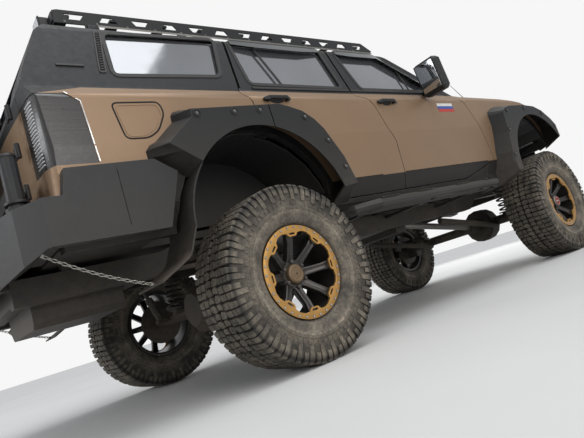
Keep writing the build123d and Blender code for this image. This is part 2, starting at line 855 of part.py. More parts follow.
# Engine, gearbox, shafts, exhaust and tank
engine_block = box((2620, 3180), (-210, 210), (730, 1180))
gearbox = box((1720, 2620 - seat_gap), (-130, 130), (712, 775)) + box((1400, 2200), (-130, 120), (608, 775))
gearbox = gearbox + box((1400, 1720), (-250, -129), (608, 740))
shaft_gap = Vector(seat_gap, 0, 0)
rear_shaft = bar((252, 0, 460), (1399.7, -20, 690), 34) - rear_axle.moved(Location(shaft_gap))
front_shaft = bar((wheelbase - 252, front_diff_y, 460), (1720.3, front_diff_y + 10, 640), 28)
front_shaft = front_shaft - front_axle.moved(Location(-shaft_gap))
silencer = box((760, 1230), (170, 320), (590, 700))
silencer = chamfer(silencer.edges().filter_by(Axis.X), 28)
exhaust = silencer + pipe([(1200, 245, 655), (1700, 245, 655), (2470, 245, 690), (2570, 236.3, 800), (2720, 236.3, 800)], 26, 60)
exhaust = exhaust + pipe([(800, 245, 650), (720, 245, 680), (380, 235, 748), (-850, 235, 748), (-1030, 300, 590)], 26, 50)
fuel_tank = box((-1050 + seat_gap, -620), (-340, 190), (540, 750))
fuel_tank = chamfer(fuel_tank.edges().filter_by(Axis.X), 30)

# Rear bumper: folded plate round the corners, open below
bumper_plate = 14
rear_bumper_plan = [
    (-1235, 0), (-1235, 560), (-1150, 860), (-1065, 972), (-470, 972), (-470, -972), (-1065, -972),
    (-1150, -860), (-1235, -560),
]
rear_bumper_side = [
    (-1245, 830), (-1200, 700), (-1080, 765), (-590, 765), (-466, 1078), (-966, 1062), (-990, 955), (-1245, 950),
]


def rear_bumper_volume(inset):
    plan = offset(polygon(rear_bumper_plan), -inset) if inset else polygon(rear_bumper_plan)
    side = offset(polygon(rear_bumper_side), -inset) if inset else polygon(rear_bumper_side)
    return along_z(plan, 600, 1200) & along_y(side, -1000, 1000)


rear_bumper = rear_bumper_volume(0) - rear_bumper_volume(bumper_plate)
rear_bumper = rear_bumper - box((-980, -400), (-925 - 3, 925 + 3), (600, 1200))
rear_bumper = rear_bumper - box((-1028 - 8, -400), (-928, 928), (600, 1200))
rear_bumper = rear_bumper - along_y(arch_disc(rear_arch, arch_radius + 2), -1100, 1100)
rear_bumper = rear_bumper - body_clear - box((-1195, -1000), (-640, 640), (600, 830))
flare_clear = along_y(grow(polygon(rear_flare_line), 3), 850, 1100)
rear_bumper = rear_bumper - flare_clear - mirror(flare_clear, about=Plane.XZ)
for side in (-1, 1):
    rear_bumper = rear_bumper + box((-1228, -1130 - seat_gap), (side * 375, side * 425), (725, 900))

spindle = (-1110, -800)
spindle_foot_z = 972
rear_bumper = rear_bumper + bar((*spindle, 930), (*spindle, spindle_foot_z - seat_gap), 46, 12)

# Front bumper: a folded plate with raised corners
front_bumper_plan = [
    (bumper_front_x, 0), (bumper_front_x, 380), (3640, 700), (3500, 905), (3445, 905), (3445, -905), (3500, -905),
    (3640, -700), (bumper_front_x, -380),
]
front_bumper_side = [(3445, 830), (3660, 800), (3710, 900), (3710, 1060), (3640, 1130), (3520, 1200), (3445, 1200)]


def front_bumper_volume(inset):
    plan = offset(polygon(front_bumper_plan), -inset) if inset else polygon(front_bumper_plan)
    side = offset(polygon(front_bumper_side), -inset) if inset else polygon(front_bumper_side)
    return along_z(plan, 600, 1300) & along_y(side, -1000, 1000)


front_bumper = front_bumper_volume(0) - front_bumper_volume(bumper_plate)
front_bumper = front_bumper - box((3400, 3458), (-890, 890), (820, 1190))
for side in (-1, 1):
    front_bumper = front_bumper - box((3400, 3800), (side * 640, side * 1000), (700, 985))
front_bumper = front_bumper - box((3300, 3800), (-560, 560), (1135, 1300))

for side in (-1, 1):
    front_bumper = front_bumper + box((3520 + seat_gap, 3692), (side * 372, side * 424), (820, 960))
    front_bumper = front_bumper + box((3520 + seat_gap, 3560), (side * 360, side * 435), (655, 825))

# Recovery eyes on both bumpers
eye_radius = 13
eye_plate = 25
rear_lugs = []
shackles = []
for side in (-1, 1):
    lug = along_y(polygon([(-1220, 700), (-1290, 720), (-1290, 780), (-1220, 830)]), side * 480 - eye_plate / 2, side * 480 + eye_plate / 2)
    hole = rod((-1258, side * -480 - 30, 748), (-1258, side * -480 + 30, 748), eye_radius)
    rear_bumper = rear_bumper + (lug - hole)
    rear_bumper = rear_bumper - hole
    front_lug = along_y(polygon([(3690, 850), (front_most, 862), (front_most, 912), (3690, 930)]), side * 420 - eye_plate / 2, side * 420 + eye_plate / 2)
    front_hole = rod((3728, side * -420 - 30, 887), (3728, side * -420 + 30, 887), eye_radius)
    front_bumper = front_bumper + front_lug - front_hole
    bow_path = Polyline((0, -30, 0), (0, -32, -48), (0, -16, -66), (0, 16, -66), (0, 32, -48), (0, 30, 0))
    bow_section = Plane(origin=bow_path @ 0, z_dir=bow_path % 0) * RegularPolygon(10, 6)
    bow = sweep(bow_section, path=bow_path, transition=Transition.RIGHT)
    pin = bar((0, -44, 0), (0, 44, 0), eye_radius - seat_gap, 10)
    shackles.append(Pos(-1258, side * 480, 748) * (bow + pin))

# Roof rack: side plates with cut-outs, end plates and slats
rack_half = 660
rack_x = (-740, 1580)
rack_z = (1900, 1985)
rack_plate = 8
rack_side_line = [(-740, 1912), (-740, 1978), (-715, 1985), (1480, 1990), (1580, 1932), (1560, 1918)]
rack_side = along_y(polygon(rack_side_line), rack_half - rack_plate / 2, rack_half + rack_plate / 2)
window_count = 13
for index in range(window_count):
    x_mid = -640 + index * 172
    low, high = (48, 26) if index % 2 else (26, 48)
    cut = [(x_mid - low, 1936), (x_mid + low, 1936), (x_mid + high, 1966), (x_mid - high, 1966)]
    rack_side = rack_side - along_y(polygon(cut), rack_half - 20, rack_half + 20)
roof_rack = rack_side + mirror(rack_side, about=Plane.XZ)
slat_count = 9
for index in range(slat_count):
    x_mid = -690 + index * 262
    roof_rack = roof_rack + box((x_mid - 30, x_mid + 30), (-rack_half, rack_half), (1950, 1962))
for index in range(4):
    x_mid = -560 + index * 620
    for side in (-1, 1):
        roof_rack = roof_rack + box((x_mid - 35, x_mid + 35), (side * (rack_half - 4), side * (rack_half + 4)), (1850, 1920))
roof_rack = roof_rack - body_clear
rack_lamps = []
roof_rack = roof_rack + box((-746, -736), (-rack_half, rack_half), (1925, 1972))
for y in (-560, 560):
    rack_lamps.append(box((-790, -746 - seat_gap), (y - 45, y + 45), (1915, 1975)))

# Side steps: a bent outer tube, an inner tube and brackets to the frame
side_steps = []
step_z = 700
outer_tube = pipe([(470, -700, step_z), (640, -975, step_z), (2150, -975, step_z), (2330, -700, step_z)], 30, 90, 10)
inner_tube = bar((640, -850, step_z - 10), (2160, -850, step_z - 10), 22)
step = outer_tube + inner_tube
for x in (760, 1400, 2040):
    step = step + box((x - 25, x + 25), (-970, -rail_y[1] - seat_gap), (step_z - 22, step_z - 4))
side_steps = both_sides(step)

# Rear mud flaps and their retaining chains
flap_thickness = 8
flap_radius = arch_radius - flap_thickness / 2 - seat_gap
flap_arc = CenterArc(rear_arch, flap_radius, 138, 38)
flap_tail = FilletPolyline(flap_arc @ 1, (-560, 625), (-712, 545), radius=90)
flap = along_y(trace(flap_arc, flap_thickness) + trace(flap_tail, flap_thickness), 745, 1010)
mud_flaps = both_sides(flap)
chain = bar((-1095, -900, 752), (-705.6, -900, 555.9), 4, 6)
flap_chains = both_sides(chain)

# Seats, dashboard and steering wheel
seats = []
for y in (-390, 390):
    base = box((1080, 1560), (y - 240, y + 240), (940, 1090))
    back = Pos(1060, y, 1330) * Rot(0, -12, 0) * Box(120, 460, 560)
    plinth = box((1150, 1500), (y - 200, y + 200), (830.3, 939.7))
    seats.append(chamfer(base.edges(), 22))
    seats.append(chamfer(back.edges(), 22) - box((1000, 1700), (y - 300, y + 300), (900, 1090.3)))
    seats.append(plinth)
bench = box((470, 920), (-640, 640), (960, 1090))
bench_back = Pos(450, 0, 1330) * Rot(0, -12, 0) * Box(120, 1280, 520)
seats.append(chamfer(bench.edges(), 22))
seats.append(chamfer(bench_back.edges(), 22) - box((0, 1000), (-700, 700), (900, 1090.3)))
seats.append(box((520, 860), (-600, 600), (830.3, 959.7)))
dashboard = box((1830, 2110 - seat_gap), (-690, 690), (1130, 1390))
dashboard = fillet(dashboard.edges().filter_by(Axis.Y), 60)
rim_face = RegularPolygon(204, 24) - RegularPolygon(178, 24)
wheel_rim = Pos(1690, 390, 1330) * Rot(0, -62, 0) * Pos(0, 0, -12) * extrude(rim_face, amount=24)
column = bar((1690, 390, 1330), (1860, 390, 1248), 26) - dashboard
spokes_bar = Pos(1690, 390, 1330) * Rot(0, -62, 0) * Box(40, 370, 14)
steering_wheel = wheel_rim + column + spokes_bar

# Door mirrors
mirror_shape = Pos(1675, -1010, 1530) * Rot(0, -6, 0) * Box(95, 190, 250)
mirror_shape = chamfer(mirror_shape.edges(), 22)
mirror_arm = bar((1690, -930, 1470), (1760, -848, 1470), 20)
mirror_right = mirror_shape + mirror_arm - body_clear

# Spare wheel and its swing-out carrier
spare_y = 60
spare_z = 1402
spare_x = -1090 - tyre_width / 2
carrier = bar((*spindle, spindle_foot_z), (*spindle, 1180), 34, 12)
carrier = carrier + box((spindle[0] - 25, spindle[0] + 25), (spindle[1], 640), (1000, 1060))
carrier = carrier + box((-1110, -1070), (spare_y - 190, spare_y - 130), (1030, 1500))
carrier = carrier + box((-1110, -1070), (spare_y + 130, spare_y + 190), (1030, 1500))
carrier = carrier + box((-1110, -1070), (spare_y - 190, spare_y + 190), (spare_z - 60, spare_z + 60))
hub_stub = rod((-1075, spare_y, spare_z), (spare_x - 35, spare_y, spare_z), hub_bore - running_gap)
wheel_carrier = carrier + hub_stub
spare_tyre = Pos(spare_x, spare_y, spare_z) * Rot(0, 0, 90) * tyre
spare_rim = Pos(spare_x, spare_y, spare_z) * Rot(0, 0, 90) * rim
wheel_carrier = wheel_carrier - (Pos(spare_x, spare_y, spare_z) * Rot(0, 90, 0) * (Cylinder(tyre_radius + 10, tyre_width + 8) - Cylinder(190, 500)))

rear_most = spare_x - tyre_width / 2
origin_shift = -(front_most + rear_most) / 2

nodes = {
    "frame_rails": frame_rails,
    "floor_pan": floor_pan + bulkhead,
    "body_sides": body_sides,
    "rear_frame": rear_frame,
    "roof_panel": roof_panel,
    "nose_panels": nose_panels,
    "bonnet": bonnet,
    "grille": grille,
    "head_lamps": both_sides(head_lamp),
    "tail_lamps": both_sides(tail_lamp_right),
    "front_bumper": front_bumper,
    "rear_bumper": rear_bumper,
    "roof_rack": roof_rack,
    "rack_lamps": rack_lamps,
    "fixed_glass": [windscreen] + both_sides(quarter_right),
    "wheel_flares": both_sides(rear_flare_body) + both_sides(front_flare),
    "arch_liners": arch_liners,
    "side_steps": side_steps,
    "mud_flaps": mud_flaps,
    "flap_chains": flap_chains,
    "bow_shackles": shackles,
    "seats": seats,
    "dashboard": dashboard,
    "steering_wheel": steering_wheel,
    "drivetrain": [engine_block, gearbox, rear_shaft, front_shaft],
    "exhaust": exhaust,
    "fuel_tank": fuel_tank,
    "front_axle": front_axle,
    "rear_axle": rear_axle,
    "links_and_dampers": links + dampers,
    "coil_springs": springs,
    "tail_door_right": tail_door_right,
    "tail_door_left": tail_door_left,
    "tail_glass_right": tail_glass_right,
    "tail_glass_left": tail_glass_left,
    "wheel_carrier": wheel_carrier,
    "spare_tyre": spare_tyre,
    "spare_rim": spare_rim,
}
for side, name in ((-1, "right"), (1, "left")):
    pick = (lambda solid: solid) if side < 0 else (lambda solid: mirror(solid, about=Plane.XZ))
    nodes["door_front_" + name] = pick(door_front_right)
    nodes["door_rear_" + name] = pick(door_rear_right)
    nodes["glass_front_" + name] = pick(glass_front_right)
    nodes["glass_rear_" + name] = pick(glass_rear_right)
    nodes["door_flare_" + name] = pick(rear_flare_door)
    nodes["mirror_" + name] = pick(mirror_right)
    nodes["knuckle_" + name] = knuckle(side)
    for x, place in ((0, "rear"), (wheelbase, "front")):
        nodes["tyre_" + place + "_" + name] = place_wheel(tyre, x, side)
        nodes["rim_" + place + "_" + name] = place_wheel(rim, x, side)

os.makedirs("parts", exist_ok=True)
for node, shape in nodes.items():
    pieces = shape if isinstance(shape, list) else [shape]
    solids = [solid for piece in pieces for solid in piece.solids()]
    moved = [Pos(origin_shift, 0, 0) * solid for solid in solids]
    export_step(moved[0] if len(moved) == 1 else Compound(children=moved), f"parts/{node}.step")
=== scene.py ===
import math
from functools import reduce

import bmesh
import bpy
from mathutils import Matrix, Vector
from mathutils.bvhtree import BVHTree


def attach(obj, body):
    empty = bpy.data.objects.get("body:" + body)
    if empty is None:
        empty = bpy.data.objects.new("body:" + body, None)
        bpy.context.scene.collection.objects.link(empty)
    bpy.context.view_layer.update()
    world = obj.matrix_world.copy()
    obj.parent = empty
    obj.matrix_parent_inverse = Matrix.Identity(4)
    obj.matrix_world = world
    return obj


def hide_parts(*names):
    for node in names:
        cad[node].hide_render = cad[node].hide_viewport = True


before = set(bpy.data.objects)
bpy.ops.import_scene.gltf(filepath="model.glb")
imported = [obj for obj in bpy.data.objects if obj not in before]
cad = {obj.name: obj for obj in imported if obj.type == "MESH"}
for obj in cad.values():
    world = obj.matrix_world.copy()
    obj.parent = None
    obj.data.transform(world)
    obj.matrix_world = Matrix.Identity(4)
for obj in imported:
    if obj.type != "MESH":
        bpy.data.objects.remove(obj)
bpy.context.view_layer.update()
sides = (("right", -1), ("left", 1))
rearAxle = -1.175  # x of the rear axle; body places below are millimetres from it


def place(x, y, z):
    return Vector((x / 1000 + rearAxle, y / 1000, z / 1000))


# The camera looks from low behind the right rear wheel, tilted as in the photograph
view = dict(azimuth=49.53, elevation=8.01, roll=17.35, lens=31.78, spot=(-2.773, -2.905, 0.347))


def addCamera():
    az, el, roll = (math.radians(view[k]) for k in ("azimuth", "elevation", "roll"))
    ahead = Vector((math.cos(el) * math.cos(az), math.cos(el) * math.sin(az), math.sin(el)))
    flatRight = ahead.cross(Vector((0, 0, 1))).normalized()
    flatDown = ahead.cross(flatRight)
    right = flatRight * math.cos(roll) + flatDown * math.sin(roll)
    down = flatDown * math.cos(roll) - flatRight * math.sin(roll)
    turn = Matrix((right, -down, -ahead)).transposed().to_4x4()
    lens = bpy.data.cameras.new("camera")
    lens.lens = view["lens"]
    lens.sensor_width = 36
    lens.clip_end = 200
    camera = bpy.data.objects.new("camera", lens)
    camera.matrix_world = Matrix.Translation(Vector(view["spot"])) @ turn
    bpy.context.scene.collection.objects.link(camera)
    bpy.context.scene.camera = camera


# Materials
def addNode(tree, kind, values=None, **inputs):
    made = tree.nodes.new("ShaderNode" + kind)
    for key, value in (values or {}).items():
        setattr(made, key, value)
    for key, value in inputs.items():
        numbered = key[0] == "i" and key[1:].isdigit()  # i0, i1 ... name a socket by its place
        socket = made.inputs[int(key[1:]) if numbered else key.replace("_", " ")]
        if isinstance(value, bpy.types.NodeSocket):
            tree.links.new(value, socket)
        else:
            socket.default_value = value
    return made


def mathNode(tree, operation, *values, clamp=False):
    inputs = {"i%d" % k: v for k, v in enumerate(values)}
    return addNode(tree, "Math", dict(operation=operation, use_clamp=clamp), **inputs).outputs[0]


def mixColour(tree, factor, one, two, blend="MIX"):
    made = tree.nodes.new("ShaderNodeMix")
    made.data_type = "RGBA"
    made.blend_type = blend
    for key, value in ((0, factor), (6, one), (7, two)):
        if isinstance(value, bpy.types.NodeSocket):
            tree.links.new(value, made.inputs[key])
        else:
            made.inputs[key].default_value = value if key == 0 else (*value[:3], 1)
    return made.outputs[2]


def noise(tree, scale, detail=3.0, rough=0.5, stretch=None):
    where = addNode(tree, "TexCoord").outputs["Object"]
    if stretch:
        where = addNode(tree, "Mapping", Vector=where, Scale=stretch).outputs[0]
    return addNode(tree, "TexNoise", Vector=where, Scale=scale, Detail=detail, Roughness=rough).outputs["Fac"]


def ramp(tree, value, low, high, toLow=0.0, toHigh=1.0):
    made = addNode(tree, "MapRange", dict(clamp=True), Value=value, i1=low, i2=high, i3=toLow, i4=toHigh)
    return made.outputs[0]


def axes(tree):
    where = addNode(tree, "TexCoord").outputs["Object"]
    split = addNode(tree, "SeparateXYZ", Vector=where)
    return split.outputs[0], split.outputs[1], split.outputs[2]


dustTan = (0.33, 0.25, 0.175)


# one way for every solid finish: mottled colour, grain, worn edges, and dust that is thicker low down
def finish(name, colour, rough=0.5, metal=0.0, dust=0.3, dustTop=1.3, grain=500.0, bump=0.15, bumpDepth=0.0006,
           coat=0.0, sheen=0.0, mottle=0.12, edge=0.0, edgeColour=(0.3, 0.3, 0.3), dustColour=dustTan, tone=None,
           stretch=None, specular=0.5):
    made = bpy.data.materials.new(name)
    made.use_nodes = True
    tree = made.node_tree
    tree.nodes.clear()
    broad = noise(tree, 2.3, 4.0, 0.6)
    fine = noise(tree, 38.0, 5.0, 0.65)
    darker, paler = ([c * (1 + part) for c in colour] for part in (-mottle, mottle))
    base = mixColour(tree, ramp(tree, broad, 0.3, 0.7), darker, paler)
    roughValue = ramp(tree, fine, 0.3, 0.7, max(rough - 0.07, 0.02), min(rough + 0.07, 1.0))
    if tone:
        base, roughValue = tone(tree, base, roughValue)
    if edge:
        rounded = addNode(tree, "Bevel", dict(samples=4), Radius=0.004).outputs[0]
        plain = addNode(tree, "NewGeometry").outputs["Normal"]
        meet = addNode(tree, "VectorMath", dict(operation="DOT_PRODUCT"), i0=rounded, i1=plain).outputs["Value"]
        worn = mathNode(tree, "MULTIPLY", ramp(tree, meet, 0.985, 0.9), ramp(tree, fine, 0.42, 0.62, 0.0, edge))
        base = mixColour(tree, worn, base, edgeColour)
    if dust:
        height = axes(tree)[2]
        low = ramp(tree, height, dustTop, 0.25, 0.0, 1.0)
        up = addNode(tree, "SeparateXYZ", Vector=addNode(tree, "NewGeometry").outputs["Normal"]).outputs[2]
        settled = mathNode(tree, "ADD", low, ramp(tree, up, 0.3, 1.0, 0.0, 0.35))
        patches = mathNode(tree, "MULTIPLY", ramp(tree, broad, 0.25, 0.75, 0.35, 1.0),
                           ramp(tree, fine, 0.25, 0.7, 0.25, 1.0))
        film = mathNode(tree, "MULTIPLY", mathNode(tree, "MULTIPLY", settled, patches), dust, clamp=True)
        base = mixColour(tree, film, base, dustColour)
        roughValue = mathNode(tree, "ADD", roughValue, mathNode(tree, "MULTIPLY", film, 0.35), clamp=True)
    grains = noise(tree, grain, 2.0, 0.5, stretch)
    normal = addNode(tree, "Bump", Strength=bump, Distance=bumpDepth, Height=grains).outputs[0]
    shader = addNode(tree, "BsdfPrincipled", Base_Color=base, Roughness=roughValue, Normal=normal, Metallic=metal)
    shader.inputs["Coat Weight"].default_value = coat
    shader.inputs["Coat Roughness"].default_value = 0.2
    shader.inputs["Sheen Weight"].default_value = sheen
    shader.inputs["Specular IOR Level"].default_value = specular
    out = addNode(tree, "OutputMaterial")
    tree.links.new(shader.outputs[0], out.inputs[0])
    return made


toneLines = dict(belt=1.462, beltDrop=0.26, dropFrom=-1.956, wingFrom=1.13, sill=0.885, corner=-2.193,
                 cornerY=0.748, cabin=(-2.1, 1.0), cabinY=0.848, deep=(-2.1, 2.15), deepY=0.84, deepZ=1.15,
                 well=0.535, wells=((-1.205, 0.715), (1.765, 0.74)), liningFacing=0.3, extraRough=0.1,
                 charcoal=(0.016, 0.0165, 0.018), band=(0.012, 0.012, 0.013))


# bronze between the sill band and the belt, charcoal above the belt and inside the openings
def bodyTones(tree, base, rough):
    def over(value, limit):
        return mathNode(tree, "GREATER_THAN", value, limit)

    def under(value, limit):
        return mathNode(tree, "LESS_THAN", value, limit)

    def both(*masks):
        return reduce(lambda one, two: mathNode(tree, "MULTIPLY", one, two), masks)

    def either(*masks):
        return reduce(lambda one, two: mathNode(tree, "MAXIMUM", one, two), masks)

    def away(spot):  # distance from a wheel's centre, seen from the side
        flat = addNode(tree, "CombineXYZ", X=mathNode(tree, "SUBTRACT", x, spot[0]),
                       Y=mathNode(tree, "SUBTRACT", z, spot[1])).outputs[0]
        return addNode(tree, "VectorMath", dict(operation="LENGTH"), i0=flat).outputs["Value"]

    lines = toneLines
    x, y, z = axes(tree)
    wide = mathNode(tree, "ABSOLUTE", y)
    ahead = addNode(tree, "SeparateXYZ", Vector=addNode(tree, "NewGeometry").outputs["Normal"]).outputs[0]
    behind = mathNode(tree, "MAXIMUM", mathNode(tree, "SUBTRACT", lines["dropFrom"], x), 0.0)
    belt = mathNode(tree, "SUBTRACT", lines["belt"], mathNode(tree, "MULTIPLY", behind, lines["beltDrop"]))
    upper = either(
        both(over(z, belt), under(x, lines["wingFrom"])),
        both(under(x, lines["corner"]), over(wide, lines["cornerY"])),
        both(over(x, lines["cabin"][0]), under(x, lines["cabin"][1]), under(wide, lines["cabinY"])),
        both(over(x, lines["deep"][0]), under(x, lines["deep"][1]), under(wide, lines["deepY"]),
             under(z, lines["deepZ"])),
        both(under(x, lines["cabin"][0]), over(ahead, lines["liningFacing"])))
    lower = either(under(z, lines["sill"]), *[under(away(spot), lines["well"]) for spot in lines["wells"]])
    base = mixColour(tree, upper, base, lines["charcoal"])
    base = mixColour(tree, lower, base, lines["band"])
    more = mathNode(tree, "MULTIPLY", mathNode(tree, "ADD", upper, lower), lines["extraRough"])
    return base, mathNode(tree, "ADD", rough, more)


def glazing(name, colour, alpha, rough=0.03, metal=0.0):
    made = bpy.data.materials.new(name)
    made.use_nodes = True
    tree = made.node_tree
    tree.nodes.clear()
    film = ramp(tree, noise(tree, 7.0, 6.0, 0.7), 0.35, 0.75, rough, rough + 0.13)
    shade = mixColour(tree, ramp(tree, noise(tree, 1.4), 0.3, 0.7), colour, [c * 0.8 for c in colour])
    waves = addNode(tree, "Bump", Strength=0.05, Distance=0.002, Height=noise(tree, 3.0, 1.0)).outputs[0]
    shader = addNode(tree, "BsdfPrincipled", Base_Color=shade, Roughness=film, Alpha=alpha, Normal=waves,
                     Metallic=metal)
    shader.inputs["Specular IOR Level"].default_value = 0.9
    shader.inputs["Coat Weight"].default_value = 0.6
    shader.inputs["Coat Roughness"].default_value = 0.03
    out = addNode(tree, "OutputMaterial")
    tree.links.new(shader.outputs[0], out.inputs[0])
    return made


def makeMaterials():
    return dict(
        paint=finish("bronzePaint", (0.25, 0.162, 0.097), rough=0.42, metal=0.4, dust=0.25, dustTop=1.1, grain=1400,
                     bump=0.08, bumpDepth=0.0002, mottle=0.05, edge=0.35, edgeColour=(0.42, 0.33, 0.24),
                     tone=bodyTones),
        charcoal=finish("charcoalPaint", (0.016, 0.0165, 0.018), rough=0.42, dust=0.12, dustTop=2.4, grain=1400,
                        bump=0.08, bumpDepth=0.0002, edge=0.3, edgeColour=(0.12, 0.12, 0.12), specular=0.36),
        chassis=finish("chassisBlack", (0.011, 0.011, 0.011), rough=0.6, dust=0.45, dustTop=1.1, bump=0.35, grain=260,
                       edge=0.4, edgeColour=(0.1, 0.07, 0.05)),
        plastic=finish("grainedPlastic", (0.0125, 0.013, 0.0135), rough=0.5, dust=0.35, dustTop=1.25, bump=0.4,
                       grain=900, bumpDepth=0.0005, edge=0.35, edgeColour=(0.07, 0.07, 0.07), specular=0.32),
        powder=finish("powderCoat", (0.0135, 0.014, 0.015), rough=0.44, dust=0.22, dustTop=1.1, bump=0.5, grain=1100,
                      bumpDepth=0.0005, edge=0.45, edgeColour=(0.11, 0.11, 0.115), specular=0.36),
        darkSteel=finish("darkSteel", (0.12, 0.12, 0.12), rough=0.42, metal=0.8, dust=0.4, grain=420, edge=0.5,
                         edgeColour=(0.4, 0.39, 0.37)),
        bright=finish("brightMetal", (0.62, 0.62, 0.61), rough=0.24, metal=1.0, dust=0.15, grain=700, bump=0.06,
                      mottle=0.05),
        chain=finish("chainZinc", (0.3, 0.29, 0.27), rough=0.42, metal=0.9, dust=0.35, grain=300, edge=0.5,
                     edgeColour=(0.55, 0.53, 0.5)),
        red=finish("redEnamel", (0.55, 0.035, 0.018), rough=0.35, dust=0.2, coat=0.3, grain=500, edge=0.7,
                   edgeColour=(0.3, 0.28, 0.26)),
        rubber=finish("flapRubber", (0.013, 0.013, 0.0135), rough=0.62, dust=0.35, dustTop=1.1, bump=0.4, grain=180,
                      edge=0.3, edgeColour=(0.06, 0.055, 0.05), specular=0.35),
        smoked=finish("smokedLens", (0.011, 0.0095, 0.01), rough=0.3, dust=0.14, dustTop=1.6, coat=0.25, bump=0.5,
                      edge=0.2, edgeColour=(0.1, 0.09, 0.09), stretch=(0.02, 0.02, 1), grain=110, bumpDepth=0.0012),
        clear=glazing("clearLens", (0.8, 0.82, 0.84), 0.3),
        glass=glazing("tintedGlass", (0.3, 0.31, 0.325), 0.93, 0.015, 0.75),
        smoke=glazing("deflectorSmoke", (0.006, 0.011, 0.009), 0.93, 0.05),
        fabric=finish("seatFabric", (0.03, 0.03, 0.032), rough=0.85, dust=0.12, dustTop=2.4, bump=0.7, grain=700,
                      bumpDepth=0.0012, sheen=0.5, stretch=(1, 1, 0.25), mottle=0.2),
        leather=finish("seatLeather", (0.045, 0.04, 0.036), rough=0.5, dust=0.1, dustTop=2.4, bump=0.6, grain=240,
                       bumpDepth=0.0008, sheen=0.1),
        alloy=finish("castAlloy", (0.34, 0.34, 0.33), rough=0.5, metal=0.85, dust=0.6, dustTop=1.4, bump=0.5,
                     grain=160, bumpDepth=0.0012),
        exhaust=finish("exhaustSteel", (0.3, 0.26, 0.22), rough=0.45, metal=0.9, dust=0.5, dustTop=1.3, bump=0.25,
                       grain=200, edge=0.3, edgeColour=(0.22, 0.1, 0.04)),
        lampCase=finish("lampCase", (0.02, 0.02, 0.021), rough=0.35, dust=0.1, grain=800),
    )


# which finish each node of the frame gets; a star stands for left and right
dress = dict(
    paint="body_sides rear_frame nose_panels bonnet door_front_* door_rear_* tail_door_*",
    charcoal="roof_panel",
    chassis="frame_rails floor_pan arch_liners fuel_tank front_axle rear_axle links_and_dampers coil_springs "
            "knuckle_*",
    plastic="grille wheel_flares door_flare_* mirror_* dashboard",
    powder="front_bumper rear_bumper roof_rack side_steps wheel_carrier",
    rubber="mud_flaps spare_tyre tyre_front_* tyre_rear_*",
    darkSteel="spare_rim rim_front_* rim_rear_*",
    glass="fixed_glass glass_front_* glass_rear_* tail_glass_*",
    clear="head_lamps", smoked="tail_lamps", lampCase="rack_lamps", chain="flap_chains", red="bow_shackles",
    fabric="seats", leather="steering_wheel", alloy="drivetrain", exhaust="exhaust",
)
nodeEdge = dict(weld=0.0001, outer=0.003, other=0.002, segments=2, angle=40)


def dressNodes():
    finishOf = {}
    for key, nodes in dress.items():
        for side, sign in sides:
            finishOf.update({node.replace("*", side): key for node in nodes.split()})
    for name, node in cad.items():
        key = finishOf[name]
        node.data.materials.clear()
        node.data.materials.append(mats[key])
        if key in ("glass", "clear"):
            continue
        weld = node.modifiers.new("weld", "WELD")
        weld.merge_threshold = nodeEdge["weld"]
        rounding = node.modifiers.new("rounding", "BEVEL")
        rounding.width = nodeEdge["outer" if key in ("paint", "charcoal", "powder", "plastic") else "other"]
        rounding.segments = nodeEdge["segments"]
        rounding.limit_method = "ANGLE"
        rounding.angle_limit = math.radians(nodeEdge["angle"])
        rounding.harden_normals = True


addCamera()
mats = makeMaterials()
dressNodes()
print("stage: camera and materials")


# Making pieces
def newShape():
    return bmesh.new()


def outwardFaces(bm):
    bmesh.ops.recalc_face_normals(bm, faces=list(bm.faces))


def mirrored(bm, across=(1, -1, 1)):
    bmesh.ops.scale(bm, vec=across, verts=bm.verts)
    outwardFaces(bm)


# a block between two corners
def box(bm, low, high):
    corners = list(zip(low, high))
    low, high = Vector([min(c) for c in corners]), Vector([max(c) for c in corners])
    verts = bmesh.ops.create_cube(bm, size=1)["verts"]
    bmesh.ops.scale(bm, vec=high - low, verts=verts)
    bmesh.ops.translate(bm, vec=(low + high) / 2, verts=verts)
    return verts


# a round or many-sided bar between two points
def post(bm, start, end, radius, sides=12, tip=None):
    start, end = Vector(start), Vector(end)
    verts = bmesh.ops.create_cone(bm, cap_ends=True, segments=sides, radius1=radius,
                                  radius2=radius if tip is None else tip, depth=(end - start).length)["verts"]
    spot = Matrix.Translation((start + end) / 2) @ (end - start).to_track_quat("Z", "Y").to_matrix().to_4x4()
    bmesh.ops.transform(bm, matrix=spot, verts=verts)
    return verts


# the first ring becomes a face, which is extruded from ring to ring
def loft(bm, rings, closed=False):
    first = face = bm.faces.new([bm.verts.new(p) for p in rings[0]])
    for ring in list(rings[1:]) + ([rings[0]] if closed else []):
        grown = bmesh.ops.extrude_face_region(bm, geom=[face])["geom"]
        if face is not first:
            bmesh.ops.delete(bm, geom=[face], context="FACES_ONLY")
        face = next(g for g in grown if isinstance(g, bmesh.types.BMFace))
        for vert, point in zip(face.verts, ring):
            vert.co = point
    if closed:
        ends = list(first.verts) + list(face.verts)
        bmesh.ops.delete(bm, geom=[first, face], context="FACES_ONLY")
        bmesh.ops.remove_doubles(bm, verts=ends, dist=0.000001)
    outwardFaces(bm)


# a closed profile of (along, radius) pairs turned about Y, or about Z where it is upright
def turned(bm, profile, steps=48, upright=False):
    verts = [bm.verts.new((0, along, radius)) for along, radius in profile]
    edges = [bm.edges.new((verts[k - 1], verts[k])) for k in range(len(verts))]
    bmesh.ops.spin(bm, geom=verts + edges, axis=(0, 1, 0), cent=(0, 0, 0), angle=math.tau, steps=steps,
                   use_merge=True)
    outwardFaces(bm)
    if upright:
        bmesh.ops.rotate(bm, cent=(0, 0, 0), matrix=Matrix.Rotation(math.radians(90), 3, "X"), verts=bm.verts)


def roundEdges(bm, edges, width, segments):
    bmesh.ops.bevel(bm, geom=edges, offset=width, segments=segments, profile=0.5, affect="EDGES", material=-1,
                    clamp_overlap=True)


